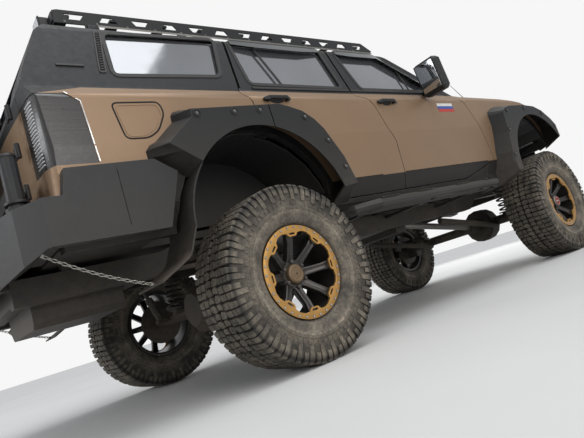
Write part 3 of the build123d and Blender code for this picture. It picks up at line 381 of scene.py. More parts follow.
def soften(bm, width, segments=2, limit=35):
    sharp = [e for e in bm.edges if len(e.link_faces) == 2 and e.calc_face_angle(0) > math.radians(limit)]
    roundEdges(bm, sharp, width, segments)


# repeats everything in the shape evenly about Y
def around(bm, count):
    bmesh.ops.spin(bm, geom=list(bm.verts) + list(bm.edges) + list(bm.faces), axis=(0, 1, 0), cent=(0, 0, 0),
                   angle=math.tau * (count - 1) / count, steps=count - 1, use_duplicate=True)


# adds one shape to another and frees it
def absorb(whole, shape, turn=None):
    scrap = bpy.data.meshes.new("scrap")
    shape.to_mesh(scrap)
    shape.free()
    if turn:
        scrap.transform(turn)
    whole.from_mesh(scrap)
    bpy.data.meshes.remove(scrap)


# one mesh from (shape, finish) pairs
def joined(name, parts, smooth=35):
    whole, keys = newShape(), []
    for shape, key in parts:
        if key not in keys:
            keys.append(key)
        for face in shape.faces:
            face.material_index = keys.index(key)
        absorb(whole, shape)
    for face in whole.faces:
        face.smooth = True
    for edge in whole.edges:
        if len(edge.link_faces) == 2 and edge.calc_face_angle(0) > math.radians(smooth):
            edge.smooth = False
    mesh = bpy.data.meshes.new(name)
    whole.to_mesh(mesh)
    whole.free()
    for key in keys:
        mesh.materials.append(mats[key])
    return mesh


def piece(mesh, body, replaces=()):
    made = bpy.data.objects.new(mesh.name, mesh)
    bpy.context.scene.collection.objects.link(made)
    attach(made, body)
    if replaces:
        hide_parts(*replaces)
    return made


# Wheels, built about Y at the origin with the outer face towards +Y
tyre = dict(
    pitches=36, ribs=72, steps=96, crown=0.44, edgeDrop=0.004, shoulder=150, root=0.414, blockEdge=0.0018,
    # half of the cross-section: distance from the middle, radius
    half=((0.0, 0.4225), (0.132, 0.4225), (0.145, 0.4165), (0.1495, 0.404), (0.1515, 0.385), (0.153, 0.362),
          (0.155, 0.338), (0.1562, 0.3225), (0.1595, 0.3195), (0.1595, 0.3065), (0.1562, 0.3035), (0.152, 0.279),
          (0.1455, 0.256), (0.1365, 0.2445), (0.1275, 0.2395), (0.118, 0.232)),
    # tread blocks of one pitch, each outline in millimetres as (round the tyre, across it)
    blocks=(((-31, 7), (-8, 7), (4, 22), (0, 52), (-20, 57), (-33, 38)),
            ((10, 7), (37, 7), (41, 30), (25, 50), (8, 44), (12, 24)),
            ((-33, 64), (-4, 58), (-4, 98), (-31, 104)),
            ((2, 57), (33, 56), (36, 92), (3, 97)),
            ((-33, 111), (-5, 106), (-4, 149), (-31, 149)),
            ((2, 104), (35, 99), (30, 143), (2, 143))),
    lugs=((-31, -4, 0.352), (3, 29, 0.384)),  # from, to round the tyre, and the radius that the lug reaches down to
)


def wheelPoint(angle, across, radius):
    return Vector((math.sin(angle) * radius, across, math.cos(angle) * radius))


def treadPitch(bm, flip):
    shift = math.pi / tyre["pitches"] if flip < 0 else 0  # the two halves are staggered
    for outline in tyre["blocks"]:
        low, high = [], []
        for along, across in outline:
            angle = along / 1000 / tyre["crown"] + shift
            top = tyre["crown"] - tyre["edgeDrop"] * (across / tyre["shoulder"]) ** 2
            low.append(wheelPoint(angle, flip * across / 1000, tyre["root"]))
            high.append(wheelPoint(angle, flip * across / 1000, top))
        loft(bm, (low, high))
    for start, end, reach in tyre["lugs"]:
        shape = ((0.146, 0.4362), (0.1555, 0.4225), (0.1598, 0.4), (0.1588, reach), (0.148, reach + 0.006),
                 (0.138, tyre["root"]))
        turns = [at / 1000 / tyre["crown"] + shift for at in (start, end)]
        loft(bm, [[wheelPoint(turn, flip * y, r) for y, r in shape] for turn in turns])


# how much dried mud a place on the tyre holds, with painted light in it: raised parts get more, which paints their
# highlights, and the groove floors stay almost bare, a painted shade
def soilAndShadeAt(radius, across):
    if radius > 0.43:
        return 0.5
    # groove floors between the blocks: almost no soil, so they stay black as painted shade
    if radius > 0.412:
        return 0.06
    if across > 0.157:
        return 0.6
    if 0.302 < radius < 0.321:
        return 1.0
    return 0.55 if 0.24 < radius < 0.35 else 0.28


def makeTyre():
    carcass, blocks, ribs = newShape(), newShape(), newShape()
    turned(carcass, list(tyre["half"]) + [(-y, r) for y, r in reversed(tyre["half"]) if y], tyre["steps"])
    for flip in (1, -1):
        treadPitch(blocks, flip)
        verts = box(ribs, (-0.003, 0.152, 0.327), (0.003, 0.1588, 0.347))  # fine ribs on the wall under the lugs
        bmesh.ops.scale(ribs, vec=(1, flip, 1), verts=verts)
    high = [e for e in blocks.edges if all(math.hypot(v.co.x, v.co.z) > 0.425 or abs(v.co.y) > 0.155 for v in e.verts)
            and e.calc_face_angle(0) > 0.6]
    roundEdges(blocks, high, tyre["blockEdge"], 1)
    around(blocks, tyre["pitches"])
    soften(ribs, 0.001, 1)
    outwardFaces(ribs)
    around(ribs, tyre["ribs"])
    mesh = joined("tyre", [(carcass, "tyre"), (blocks, "tyre"), (ribs, "tyre")], 30)
    soilAndShade = mesh.attributes.new("soilAndShade", "FLOAT", "POINT")
    for k, vert in enumerate(mesh.vertices):
        soilAndShade.data[k].value = soilAndShadeAt(math.hypot(vert.co.x, vert.co.z), abs(vert.co.y))
    return mesh


rim = dict(
    spokes=8, bolts=32, nuts=6, boltCircle=0.2205, nutCircle=0.0645,
    ringOut=0.2305, ringIn=0.2075, ringNear=0.1185, ringFar=0.1298, tabIn=0.176, tabHalf=0.037, tipHalf=0.026,
    slotLow=0.184, slotHigh=0.194, slotHalf=0.018,
    # turned profiles: (along the axle, radius)
    barrel=((-0.126, 0.231), (-0.118, 0.231), (-0.111, 0.2215), (-0.06, 0.218), (0.06, 0.218), (0.108, 0.2215),
            (0.118, 0.2295), (0.118, 0.2065), (0.085, 0.2055), (0.02, 0.199), (-0.06, 0.2035), (-0.12, 0.211),
            (-0.126, 0.224)),
    hub=((0.012, 0.078), (0.046, 0.078), (0.052, 0.072), (0.0545, 0.06), (0.0545, 0.0535), (0.05, 0.051),
         (0.012, 0.051)),
    frontCap=((0.03, 0.0485), (0.088, 0.0485), (0.094, 0.043), (0.094, 0.034), (0.089, 0.031), (0.089, 0.004),
              (0.03, 0.004)),
    frontBand=((0.0875, 0.0315), (0.0965, 0.0315), (0.0965, 0.0255), (0.0875, 0.0255)),
    rearCap=((0.03, 0.05), (0.062, 0.05), (0.072, 0.046), (0.0775, 0.038), (0.0775, 0.0335), (0.0755, 0.031),
             (0.0765, 0.004), (0.03, 0.004)),
    # one spoke at four radii: radius, half width, near face, far face
    spoke=((0.055, 0.026, 0.014, 0.052), (0.085, 0.021, 0.022, 0.067), (0.15, 0.019, 0.062, 0.1),
           (0.2075, 0.0255, 0.09, 0.1165)),
)


# the bronze ring: eight tabs with a slot each, made as one plate
def ringShape():
    bm = newShape()
    near, tip = rim["ringNear"], rim["tabIn"]
    half = math.pi / rim["spokes"]
    tabAngle = rim["tabHalf"] / rim["ringIn"]
    outline = [wheelPoint(half * (k / 4 - 1), near, rim["ringOut"]) for k in range(9)]
    outline += [wheelPoint(angle, near, rim["ringIn"] - drop)
                for angle, drop in ((half, 0.004), (half * 0.8, 0.004), (tabAngle, 0.012))]
    outline += [Vector((rim["tipHalf"] + 0.003, near, tip + 0.008)), Vector((rim["tipHalf"] - 0.006, near, tip))]
    outline += [Vector((-p.x, p.y, p.z)) for p in reversed(outline[-5:])]
    slotCentre = (rim["slotLow"] + rim["slotHigh"]) / 2
    slotRadius = (rim["slotHigh"] - rim["slotLow"]) / 2
    reach = rim["slotHalf"] - slotRadius
    slot = []
    for centre, start in ((reach, 90), (-reach, 270)):
        for k in range(7):
            angle = math.radians(start - 30 * k)
            x, z = math.cos(angle) * slotRadius, math.sin(angle) * slotRadius
            slot.append(Vector((centre + x, near, slotCentre + z)))
    edges = []
    for loop in (outline, slot):
        verts = [bm.verts.new(p) for p in loop]
        edges += [bm.edges.new((verts[k - 1], verts[k])) for k in range(len(verts))]
    bmesh.ops.triangle_fill(bm, edges=edges, use_beauty=True, use_dissolve=False)
    around(bm, rim["spokes"])
    bmesh.ops.remove_doubles(bm, verts=bm.verts, dist=0.00005)
    bmesh.ops.dissolve_limit(bm, angle_limit=0.01, verts=list(bm.verts), edges=list(bm.edges))
    grown = bmesh.ops.extrude_face_region(bm, geom=list(bm.faces))["geom"]
    outer = [g for g in grown if isinstance(g, bmesh.types.BMVert)]
    bmesh.ops.translate(bm, vec=(0, rim["ringFar"] - near, 0), verts=outer)
    outwardFaces(bm)
    soften(bm, 0.0014, 2, 50)
    return bm


def rimCap(front):
    cap = newShape()
    turned(cap, rim["frontCap" if front else "rearCap"], 36)
    if not front:
        return [(cap, "capBronze")]
    band, lever = newShape(), newShape()
    turned(band, rim["frontBand"], 36)
    box(lever, (-0.0235, 0.088, -0.0055), (0.0235, 0.099, 0.0055))  # the hub lock's lever
    soften(lever, 0.0015)
    return [(cap, "darkSteel"), (band, "red"), (lever, "bright")]


def makeRim(front):
    barrel, spokes, hub, nuts, washers, bolts, valve = (newShape() for _ in range(7))
    turned(barrel, rim["barrel"], 72)
    rings = []
    for z, half, near, far in rim["spoke"]:
        section = ((-1, near), (1, near), (1, far - 0.005), (0.62, far), (0.3, far - 0.004), (-0.3, far - 0.004),
                   (-0.62, far), (-1, far - 0.005))
        rings.append([Vector((half * share, y, z)) for share, y in section])
    loft(spokes, rings)
    soften(spokes, 0.0022, 2, 30)
    around(spokes, rim["spokes"])
    turned(hub, rim["hub"])
    post(nuts, (0, 0.05, rim["nutCircle"]), (0, 0.0665, rim["nutCircle"]), 0.0085, 6)
    post(nuts, (0, 0.0655, rim["nutCircle"]), (0, 0.0725, rim["nutCircle"]), 0.0062, 12, 0.003)
    soften(nuts, 0.0006, 1)
    around(nuts, rim["nuts"])
    post(bolts, (0, 0.129, rim["boltCircle"]), (0, 0.1325, rim["boltCircle"]), 0.0044, 6)
    post(washers, (0, 0.1285, rim["boltCircle"]), (0, 0.1304, rim["boltCircle"]), 0.0068, 16)
    for shape in (bolts, washers):
        halfStep = Matrix.Rotation(math.pi / rim["bolts"], 3, "Y")
        bmesh.ops.rotate(shape, cent=(0, 0, 0), matrix=halfStep, verts=shape.verts)
    soften(bolts, 0.0006, 1)
    around(bolts, rim["bolts"])
    around(washers, rim["bolts"])
    post(valve, (0.082, 0.075, 0.186), (0.08, 0.112, 0.18), 0.0038, 10)
    return [(barrel, "gunmetal"), (spokes, "gunmetal"), (hub, "gunmetal"), (nuts, "darkSteel"), (ringShape(), "ring"),
            (washers, "darkSteel"), (bolts, "bright"), (valve, "rubber")] + rimCap(front)


# lays the soil map over the rubber: dried mud, with painted highlights on the raised parts and painted shade in the
# grooves
def tyreSoilAndShade(tree, base, rough):
    amount = addNode(tree, "Attribute", dict(attribute_name="soilAndShade")).outputs["Fac"]
    patches = mathNode(tree, "MULTIPLY", ramp(tree, noise(tree, 9.0, 4.0, 0.6), 0.3, 0.65, 0.25, 1.0),
                       ramp(tree, noise(tree, 70.0, 4.0, 0.7), 0.3, 0.65, 0.35, 1.0))
    film = mathNode(tree, "MULTIPLY", mathNode(tree, "MULTIPLY", amount, patches), 0.95, clamp=True)
    base = mixColour(tree, film, base, (0.42, 0.36, 0.28))
    return base, mathNode(tree, "ADD", rough, mathNode(tree, "MULTIPLY", film, 0.2), clamp=True)


mats["tyre"] = finish("tyreRubber", (0.012, 0.012, 0.0125), rough=0.68, dust=0.0, bump=0.5, grain=260,
                      bumpDepth=0.0007, specular=0.3, tone=tyreSoilAndShade)
mats["gunmetal"] = finish("wheelGunmetal", (0.021, 0.022, 0.024), rough=0.34, metal=0.6, dust=0.2, dustTop=1.0,
                          grain=900, bump=0.1, edge=0.4, edgeColour=(0.16, 0.16, 0.165), coat=0.2)
mats["capBronze"] = finish("capBronze", (0.14, 0.09, 0.045), rough=0.5, metal=0.6, dust=0.6, dustTop=1.2, grain=700,
                           edge=0.4, edgeColour=(0.35, 0.25, 0.13))
mats["ring"] = finish("wheelBronze", (0.5, 0.27, 0.07), rough=0.4, metal=0.75, dust=0.35, dustTop=1.0, grain=900,
                      bump=0.1, edge=0.3, edgeColour=(0.7, 0.5, 0.25), mottle=0.1)
wheelSpots = dict(track=0.87, height=0.44, frontAxle=2970, spare=(-1250, 60, 1402))


def addWheels():
    tread = makeTyre()
    rims = {front: joined("rim", makeRim(front), 32) for front in (True, False)}
    rows = []
    for end, x in (("front", wheelSpots["frontAxle"]), ("rear", 0)):
        for side, sign in sides:
            spot = Vector((rearAxle + x / 1000, sign * wheelSpots["track"], wheelSpots["height"]))
            rows.append(("wheel_%s_%s" % (end, side), "%%s_%s_%s" % (end, side), end == "front",
                         Matrix.Translation(spot) @ Matrix.Diagonal((1, sign, 1, 1))))
    rows.append(("carrier", "spare_%s", False,
                 Matrix.Translation(place(*wheelSpots["spare"])) @ Matrix.Rotation(math.radians(90), 4, "Z")))
    for body, pattern, front, spot in rows:
        for kind, source in (("tyre", tread), ("rim", rims[front])):
            mesh = source.copy()
            mesh.name = "detailed_" + pattern % kind
            mesh.transform(spot)
            if spot.determinant() < 0:
                mesh.flip_normals()
            piece(mesh, body, replaces=(pattern % kind,))


addWheels()
print("stage: wheels")


# Body sides: half width in metres at a height in metres
sideProfile = ((0.755, 0.862), (0.783, 0.870), (0.890, 0.908), (1.168, 0.925), (1.400, 0.912), (1.465, 0.858),
               (1.850, 0.748), (1.9, 0.68))


def sideY(z):
    for (low, near), (high, far) in zip(sideProfile, sideProfile[1:]):
        if z <= high:
            return near + (far - near) * (z - low) / (high - low)
    return sideProfile[-1][1]


# a point on the body side, x and z in millimetres from the rear axle and the ground
def onSide(x, z, sign, lift=0.0):
    return Vector((x / 1000 + rearAxle, sign * (sideY(z / 1000) + lift), z / 1000))


def outward(z, sign):
    z /= 1000
    slope = sideY(z + 0.01) - sideY(z - 0.01)
    return Vector((0, sign * 0.02, -slope)).normalized()


trees = {}


# where a line meets a node of the frame, and its outward direction there
def hit(name, start, aim):
    if name not in trees:
        node = cad[name].data
        trees[name] = BVHTree.FromPolygons([v.co for v in node.vertices], [tuple(p.vertices) for p in node.polygons])
    spot, normal = trees[name].ray_cast(Vector(start), Vector(aim).normalized())[:2]
    if spot is None:
        return None, None
    return spot, -normal if normal.dot(Vector(aim)) > 0 else normal


# a matrix whose Z points along normal and whose Y leans upwards
def facing(spot, normal):
    z = Vector(normal).normalized()
    x = Vector((0, 0, 1)).cross(z).normalized()
    return Matrix.Translation(spot) @ Matrix((x, z.cross(x), z)).transposed().to_4x4()


# puts a shape, built with Z outward at the origin, where the line meets the node
def mounted(shape, node, start, aim, lift=0.0):
    spot, normal = hit(node, start, aim)
    if spot is None:
        raise ValueError("nothing of %s on the line" % node)
    bmesh.ops.transform(shape, matrix=facing(spot + normal * lift, normal), verts=shape.verts)
    outwardFaces(shape)
    return shape


# a strip of square section along (x, z) points on the body side
def ribbon(bm, path, width, depth, sign, closed=False):
    points = [onSide(x, z, sign) for x, z in path]
    count = len(points)
    rings = []
    for k, point in enumerate(points):
        before = points[k - 1] if closed or k else point
        after = points[(k + 1) % count] if closed or k < count - 1 else point
        out = outward(path[k][1], sign)
        side = (after - before).cross(out).normalized() * width / 2
        section = ((-1, -0.002), (1, -0.002), (0.8, depth), (-0.8, depth))  # its foot is sunk 2 mm into the body
        rings.append([point + side * share + out * lift for share, lift in section])
    loft(bm, rings, closed)


# the outline (x, z) with its corners turned into short arcs
def rounded(outline, radius, steps=4):
    made = []
    for k, corner in enumerate(outline):
        corner = Vector(corner)
        one, two = Vector(outline[k - 1]) - corner, Vector(outline[(k + 1) % len(outline)]) - corner
        reach = min(radius, one.length / 2.2, two.length / 2.2)
        start, end = corner + one.normalized() * reach, corner + two.normalized() * reach
        for m in range(steps + 1):
            t = m / steps
            made.append(tuple(start * (1 - t) ** 2 + corner * 2 * t * (1 - t) + end * t ** 2))
    return made


def levelLine(start, end, z, steps=6):
    return [(start + (end - start) * k / steps, z) for k in range(steps + 1)]


# Side trim, as (x, z) in millimetres from the rear axle and the ground, widths and depths in metres
windows = dict(
    quarter=((-603, 1540), (-570, 1812), (75, 1838), (-5, 1562)),
    rear=((160, 1515), (165, 1838), (885, 1838), (895, 1507)),
    front=((1070, 1503), (1020, 1835), (1440, 1835), (1860, 1545), (1885, 1503)),
)
windowRubber = dict(radius=38, width=0.026, depth=0.0035)
cabinVent = dict(slot=((-592, 1812), (-630, 1640), (-646, 1556)), half=14, louvres=17, first=(-594, 1804),
                 run=(-50, -242), bar=((-842, 1590), (-722, 1590)))
gutter = dict(start=-560, end=1500, step=120, z=1868, width=0.012, depth=0.007)
doorTrim = dict(
    front=dict(divider=((1600, 1500), (1604, 1728)), dividerWidth=0.014, belt=(952, 1868), crease=(1160, 2200),
               shade=((1034, 1815), (1440, 1818), (1560, 1735), (1842, 1543)), handle=(1191.5, 1376)),
    rear=dict(divider=((318, 1846), (352, 1700), (395, 1506)), dividerWidth=0.016, belt=(160, 938), crease=(640, 925),
              shade=((172, 1818), (878, 1818)), handle=(251.5, 1388)),
)
deflector = dict(up=18.4, down=27.6, root=0.003, out=0.017, thick=0.003, tip=0.35, steps=4)
handle = dict(blocks=(((-0.062, -0.011, 0.02), (0.062, 0.011, 0.034)),
                      ((-0.095, -0.016, 0.001), (-0.058, 0.016, 0.03)),
                      ((0.058, -0.016, 0.001), (0.095, 0.016, 0.03))),
              taper=0.45, soft=0.005, cup=0.024, cupStretch=2.1, cupDepth=0.0012, lock=(0.108, 0.0105))
stripes = dict(rows=((1370, "white"), (1347, "blue"), (1324, "redPatch")), x=(1770, 1870, 1970), drop=11.5,
               width=0.0275, depth=0.0012)
fuelDoor = dict(outline=((-687, 1363), (-461, 1369), (-449, 1311), (-500, 1225), (-557, 1190), (-663, 1189)),
                middle=(-560, 1280), inset=(14, 12))
mats["white"] = finish("patchWhite", (0.6, 0.59, 0.57), rough=0.5, dust=0.35, grain=900)
mats["blue"] = finish("patchBlue", (0.03, 0.07, 0.3), rough=0.5, dust=0.35, grain=900)
mats["redPatch"] = finish("patchRed", (0.42, 0.03, 0.025), rough=0.5, dust=0.35, grain=900)
mats["gasket"] = finish("gasketRubber", (0.011, 0.011, 0.012), rough=0.55, dust=0.1, dustTop=2.2, grain=500)
mats["gap"] = finish("shutGap", (0.004, 0.004, 0.004), rough=0.9, dust=0.05, grain=300)


def addRubber(shape, name, sign):
    look = windowRubber
    ribbon(shape, rounded(windows[name], look["radius"]), look["width"], look["depth"], sign, True)


# the smoked strip over a door window, standing out from the roof edge
def addDeflector(shape, line, sign):
    steps = [line[0]]
    for one, two in zip(line, line[1:]):
        for k in range(1, deflector["steps"] + 1):
            t = k / deflector["steps"]
            steps.append((one[0] + (two[0] - one[0]) * t, one[1] + (two[1] - one[1]) * t))
    rings = []
    for x, z in steps:
        tip = deflector["tip"] if (x, z) in (steps[0], steps[-1]) else 1
        up = onSide(x, z + deflector["up"], sign, deflector["root"])
        low = onSide(x, z - deflector["down"] * tip, sign, deflector["out"] * tip)
        thick = outward(z, sign) * deflector["thick"]
        rings.append((up, low, low + thick, up + thick))
    loft(shape, rings)


# grip, cup and lock of a side door's handle
def makeHandle(middle, height, sign):
    grip, cup, lock = newShape(), newShape(), newShape()
    for low, high in handle["blocks"]:
        for vert in box(grip, low, high):
            if abs(vert.co.x) > 0.09:
                vert.co.y *= handle["taper"]
                vert.co.z = 0.001 + (vert.co.z - 0.001) * handle["taper"]
    soften(grip, handle["soft"], 3, 30)
    bmesh.ops.create_circle(cup, cap_ends=True, radius=handle["cup"], segments=28)
    bmesh.ops.scale(cup, vec=(handle["cupStretch"], 1, 1), verts=cup.verts)
    ring = bmesh.ops.inset_region(cup, faces=list(cup.faces), thickness=0.005, depth=0)["faces"]
    inner = [f for f in cup.faces if f not in ring]
    bmesh.ops.translate(cup, vec=(0, 0, -handle["cupDepth"]), verts=list({v for f in inner for v in f.verts}))
    bmesh.ops.translate(cup, vec=(0, 0, 0.002), verts=cup.verts)
    x, radius = handle["lock"]
    post(lock, (x, 0, 0), (x, 0, 0.004), radius, 20)
    spot = facing(onSide(middle, height, sign), outward(height, sign))
    for shape in (grip, cup, lock):
        if sign > 0:
            mirrored(shape, (-1, 1, 1))
        bmesh.ops.transform(shape, matrix=spot, verts=shape.verts)
    return grip, cup, lock


def addDoorTrim(name, side, sign):
    look = doorTrim[name]
    rubber, shade, belt, crease = (newShape() for _ in range(4))
    addRubber(rubber, name, sign)
    ribbon(rubber, look["divider"], look["dividerWidth"], 0.004, sign)
    addDeflector(shade, look["shade"], sign)
    ribbon(belt, levelLine(*look["belt"], 1487), 0.018, 0.006, sign)
    ribbon(crease, levelLine(*look["crease"], 888), 0.006, 0.003, sign)
    grip, cup, lock = makeHandle(*look["handle"], sign)
    parts = [(rubber, "gasket"), (shade, "smoke"), (belt, "gasket"), (crease, "gap"), (grip, "plastic"), (cup, "gap")]
    if name == "front":
        parts.append((lock, "darkSteel"))
        for height, key in stripes["rows"]:
            patch = newShape()
            line = [(x, height - stripes["drop"]) for x in stripes["x"]]
            ribbon(patch, line, stripes["width"], stripes["depth"], sign)
            parts.append((patch, key))
    else:
        lock.free()
    piece(joined("door_trim_%s_%s" % (name, side), parts), "door_%s_%s" % (name, side))


def addFuelFlap():
    flap, gap = newShape(), newShape()
    (x0, z0), (dx, dz) = fuelDoor["middle"], fuelDoor["inset"]
    inner = [(x + (dx if x < x0 else -dx), z + (dz if z < z0 else -dz)) for x, z in fuelDoor["outline"]]
    ribbon(gap, rounded(fuelDoor["outline"], 28), 0.009, 0.0008, -1, True)
    ribbon(flap, rounded(inner, 22), 0.006, 0.0022, -1, True)
    piece(joined("fuel_flap", [(gap, "gap"), (flap, "paint")]), "body")


def addSideTrim():
    for side, sign in sides:
        rubber, slot, louvres, bar, drip = (newShape() for _ in range(5))
        addRubber(rubber, "quarter", sign)
        line, half = cabinVent["slot"], cabinVent["half"]
        ribbon(slot, line, 0.02, 0.0015, sign)
        border = [(x - half, z) for x, z in line] + [(x + half, z) for x, z in reversed(line)]
        ribbon(louvres, rounded(border, 10), 0.008, 0.004, sign, True)
        for k in range(cabinVent["louvres"]):
            x, z = (cabinVent["first"][m] + cabinVent["run"][m] * k / (cabinVent["louvres"] - 1) for m in (0, 1))
            ribbon(louvres, ((x - 9, z - 2), (x + 9, z + 2)), 0.005, 0.0035, sign)
        ribbon(bar, cabinVent["bar"], 0.013, 0.006, sign)
        places = range(gutter["start"], gutter["end"], gutter["step"])
        ribbon(drip, [(x, gutter["z"]) for x in places], gutter["width"], gutter["depth"], sign)
        parts = [(rubber, "gasket"), (slot, "gap"), (louvres, "charcoal"), (bar, "charcoal"), (drip, "chain")]
        piece(joined("side_trim_" + side, parts), "body")
        for name in doorTrim:
            addDoorTrim(name, side, sign)
    addFuelFlap()


# Bolts on the flares' flat outer faces, (x, z) in millimetres near the outer border
flareBolts = dict(
    rear=((-592, 1150), (-398, 1330), (-160, 1345), (20, 1350)),
    front=((2340, 905), (2393, 1150), (2490, 1330), (2850, 1355), (3190, 1300), (3382, 1150)),
    door=((340, 1290), (490, 1150), (570, 965)),
    margin=24, wheel=dict(rear=(-30, 715), front=(2940, 740), door=(-30, 715)),
    cup=((-0.004, 0.0215), (0.0035, 0.0195), (0.0042, 0.0175), (0.0005, 0.0145), (0.0005, 0.001), (-0.004, 0.001)),
)


# goes from the outline towards the wheel until the flare's flat outer face is met
def flareFace(node, x, z, sign, centre):
    ahead = (Vector(centre) - Vector((x, z))).normalized()

    def look(step):
        return hit(node, place(x + ahead.x * step, sign * 1400, z + ahead.y * step), (0, -sign, 0))

    for step in range(0, 200, 4):
        spot, normal = look(step)
        if spot is not None and abs(normal.y) > 0.9:
            return look(step + flareBolts["margin"])
    return None, None


def addFlareBolts():
    for side, sign in sides:
        for group, body, node in (("rear", "body", "wheel_flares"), ("front", "body", "wheel_flares"),
                                  ("door", "door_rear_" + side, "door_flare_" + side)):
            cups, heads = newShape(), newShape()
            for x, z in flareBolts[group]:
                spot, normal = flareFace(node, x, z, sign, flareBolts["wheel"][group])
                if spot is None:
                    continue
                turn = facing(spot, normal)
                cup = newShape()
                turned(cup, flareBolts["cup"], 24, upright=True)
                absorb(cups, cup, turn)
                verts = post(heads, (0, 0, 0), (0, 0, 0.0045), 0.0088, 6)
                verts += post(heads, (0, 0, 0.004), (0, 0, 0.0058), 0.0055, 12, 0.004)
                bmesh.ops.transform(heads, matrix=turn, verts=verts)
            piece(joined("flare_bolts_%s_%s" % (group, side), [(cups, "plastic"), (heads, "darkSteel")]), body)


# Door cards: the middle of the card (mm) and half its length (m); the blocks' x is a share of that half
doorCards = dict(
    front=(1480, 0.3), rear=(700, 0.19), height=1290,
    speaker=((-0.003, 0.07), (0.008, 0.07), (0.011, 0.064), (0.008, 0.058), (0.006, 0.056), (0.009, 0.02),
             (0.009, 0.001), (-0.003, 0.001)),
)


def addDoorCards():
    for side, sign in sides:
        for name in ("front", "rear"):
            middle, half = doorCards[name]
            card, rest, pocket, lever, speaker = (newShape() for _ in range(5))
            box(card, (-half, -0.13, -0.004), (half, 0.13, 0.009))
            box(rest, (-half * 0.75, -0.03, 0), (half * 0.75, 0.022, 0.052))
            box(pocket, (-half * 0.8, -0.25, -0.004), (half * 0.8, -0.165, 0.03))
            box(lever, (half * 0.35, 0.05, 0.006), (half * 0.35 + 0.085, 0.068, 0.022))
            for shape, width in ((card, 0.005), (rest, 0.014), (pocket, 0.01), (lever, 0.005)):
                soften(shape, width, 3)
            turned(speaker, doorCards["speaker"], 28, upright=True)
            bmesh.ops.translate(speaker, vec=(half * 0.5, -0.21, 0.022), verts=speaker.verts)
            door = "door_%s_%s" % (name, side)
            parts = [(card, "fabric"), (rest, "leather"), (pocket, "plastic"), (lever, "bright"), (speaker, "gap")]
            for shape, key in parts:
                mounted(shape, door, place(middle, sign * 300, doorCards["height"]), (0, sign, 0))
            piece(joined("door_card_%s_%s" % (name, side), parts), door)


addSideTrim()
addFlareBolts()
print("stage: side trim")


def boltHead(shape, size):
    post(shape, (0, 0, 0), (0, 0, 0.0015), size * 1.5, 16)
    post(shape, (0, 0, 0.001), (0, 0, 0.006), size, 6)


# bolt heads where lines from the spots meet the node
def boltsOn(node, spots, aim, size=0.008):
    bolts = newShape()
    for spot in spots:
        if hit(node, spot, aim)[0] is not None:
            one = newShape()
            boltHead(one, size)
            absorb(bolts, mounted(one, node, spot, aim))
    return bolts


# Chains from the rear bumper to the mud flaps
chain = dict(wire=0.0022, width=0.006, stretch=0.0042, pitch=0.0172, sag=0.016, eye=0.0075, lean=45,
             start=(-1092, -900, 752), end=(-707, -900, 557))
mats["reflector"] = finish("redReflector", (0.5, 0.02, 0.015), rough=0.15, dust=0.25, coat=0.7, grain=400)
mats["led"] = finish("ledStrip", (0.6, 0.61, 0.62), rough=0.18, dust=0.2, grain=500, coat=0.6)
mats["plate"] = finish("blankPlate", (0.62, 0.62, 0.6), rough=0.4, dust=0.5, dustTop=1.4, grain=600)


def chainLink():
    link = newShape()
    wire = [math.tau * k / 6 for k in range(6)]
    turned(link, [(math.cos(a) * chain["wire"], chain["width"] + math.sin(a) * chain["wire"]) for a in wire], 12)
    for vert in link.verts:  # the ring is pulled apart into a long link
        vert.co.x += chain["stretch"] if vert.co.x > 0.0001 else -chain["stretch"] if vert.co.x < -0.0001 else 0
    mesh = bpy.data.meshes.new("link")
    link.to_mesh(mesh)
    link.free()
    return mesh


def addChains():
    link = chainLink()
    start, end = place(*chain["start"]), place(*chain["end"])
    count = int((end - start).length / chain["pitch"])
    run = (end - start) / count
    for side, sign in sides:
        links, ends = newShape(), newShape()
        for k in range(count):
            t = (k + 0.5) / count
            spot = start + run * (k + 0.5) + Vector((0, 0, -4 * chain["sag"] * t * (1 - t)))
            slope = math.atan2(run.z - 4 * chain["sag"] * (1 - 2 * t) / count, run.x)
            twist = math.radians(chain["lean"] + 90 * (k % 2))
            turn = Matrix.Rotation(-slope, 4, "Y") @ Matrix.Rotation(twist, 4, "X")
            copied = link.copy()
            copied.transform(Matrix.Translation(spot) @ turn)
            links.from_mesh(copied)
            bpy.data.meshes.remove(copied)
        post(ends, start + Vector((0, 0, -0.004)), start + Vector((0, 0, 0.012)), 0.008, 12)
        for at in (start, end):
            eye = bmesh.ops.create_cone(ends, cap_ends=True, segments=16, radius1=chain["eye"], radius2=chain["eye"],
                                        depth=0.006)["verts"]
            onEdge = Matrix.Translation(at) @ Matrix.Rotation(math.radians(90), 4, "X")
            bmesh.ops.transform(ends, matrix=onEdge, verts=eye)
        soften(ends, 0.001, 1)
        if sign > 0:
            mirrored(links)
            mirrored(ends)
        piece(joined("chain_" + side, [(links, "chain"), (ends, "chain")], 60), "body", replaces=("flap_chains",))


# Tail lamps: the bright edge on the body side, and ribs that wrap round the lamp's corner
tailLamp = dict(edge=((-799, 1096), (-808, 1240), (-814, 1371), (-866, 1419)), edgeWidth=0.006, edgeDepth=0.004,
                ribs=19, firstRib=1116, ribPitch=15, axis=(-960, 790), fan=(22, 76, 9),
                section=((-0.002, -0.0035), (0.0045, -0.002), (0.0045, 0.002), (-0.002, 0.0035)))


def addTailLamp(side, sign):
    edge, ribs = newShape(), newShape()
    ribbon(edge, tailLamp["edge"], tailLamp["edgeWidth"], tailLamp["edgeDepth"], sign)
    x, y = tailLamp["axis"]
    for k in range(tailLamp["ribs"]):
        rings = []
        for turn in range(*tailLamp["fan"]):
            ray = Vector((math.cos(math.radians(turn)), -sign * math.sin(math.radians(turn)), 0))
            start = place(x, sign * y, tailLamp["firstRib"] + k * tailLamp["ribPitch"]) - ray * 0.4
            spot, normal = hit("tail_lamps", start, ray)
            if spot is not None:
                rings.append([spot + normal * out + Vector((0, 0, up)) for out, up in tailLamp["section"]])
        if len(rings) > 1:
            loft(ribs, rings)
    piece(joined("lamp_trim_" + side, [(edge, "bright"), (ribs, "led")]), "body")


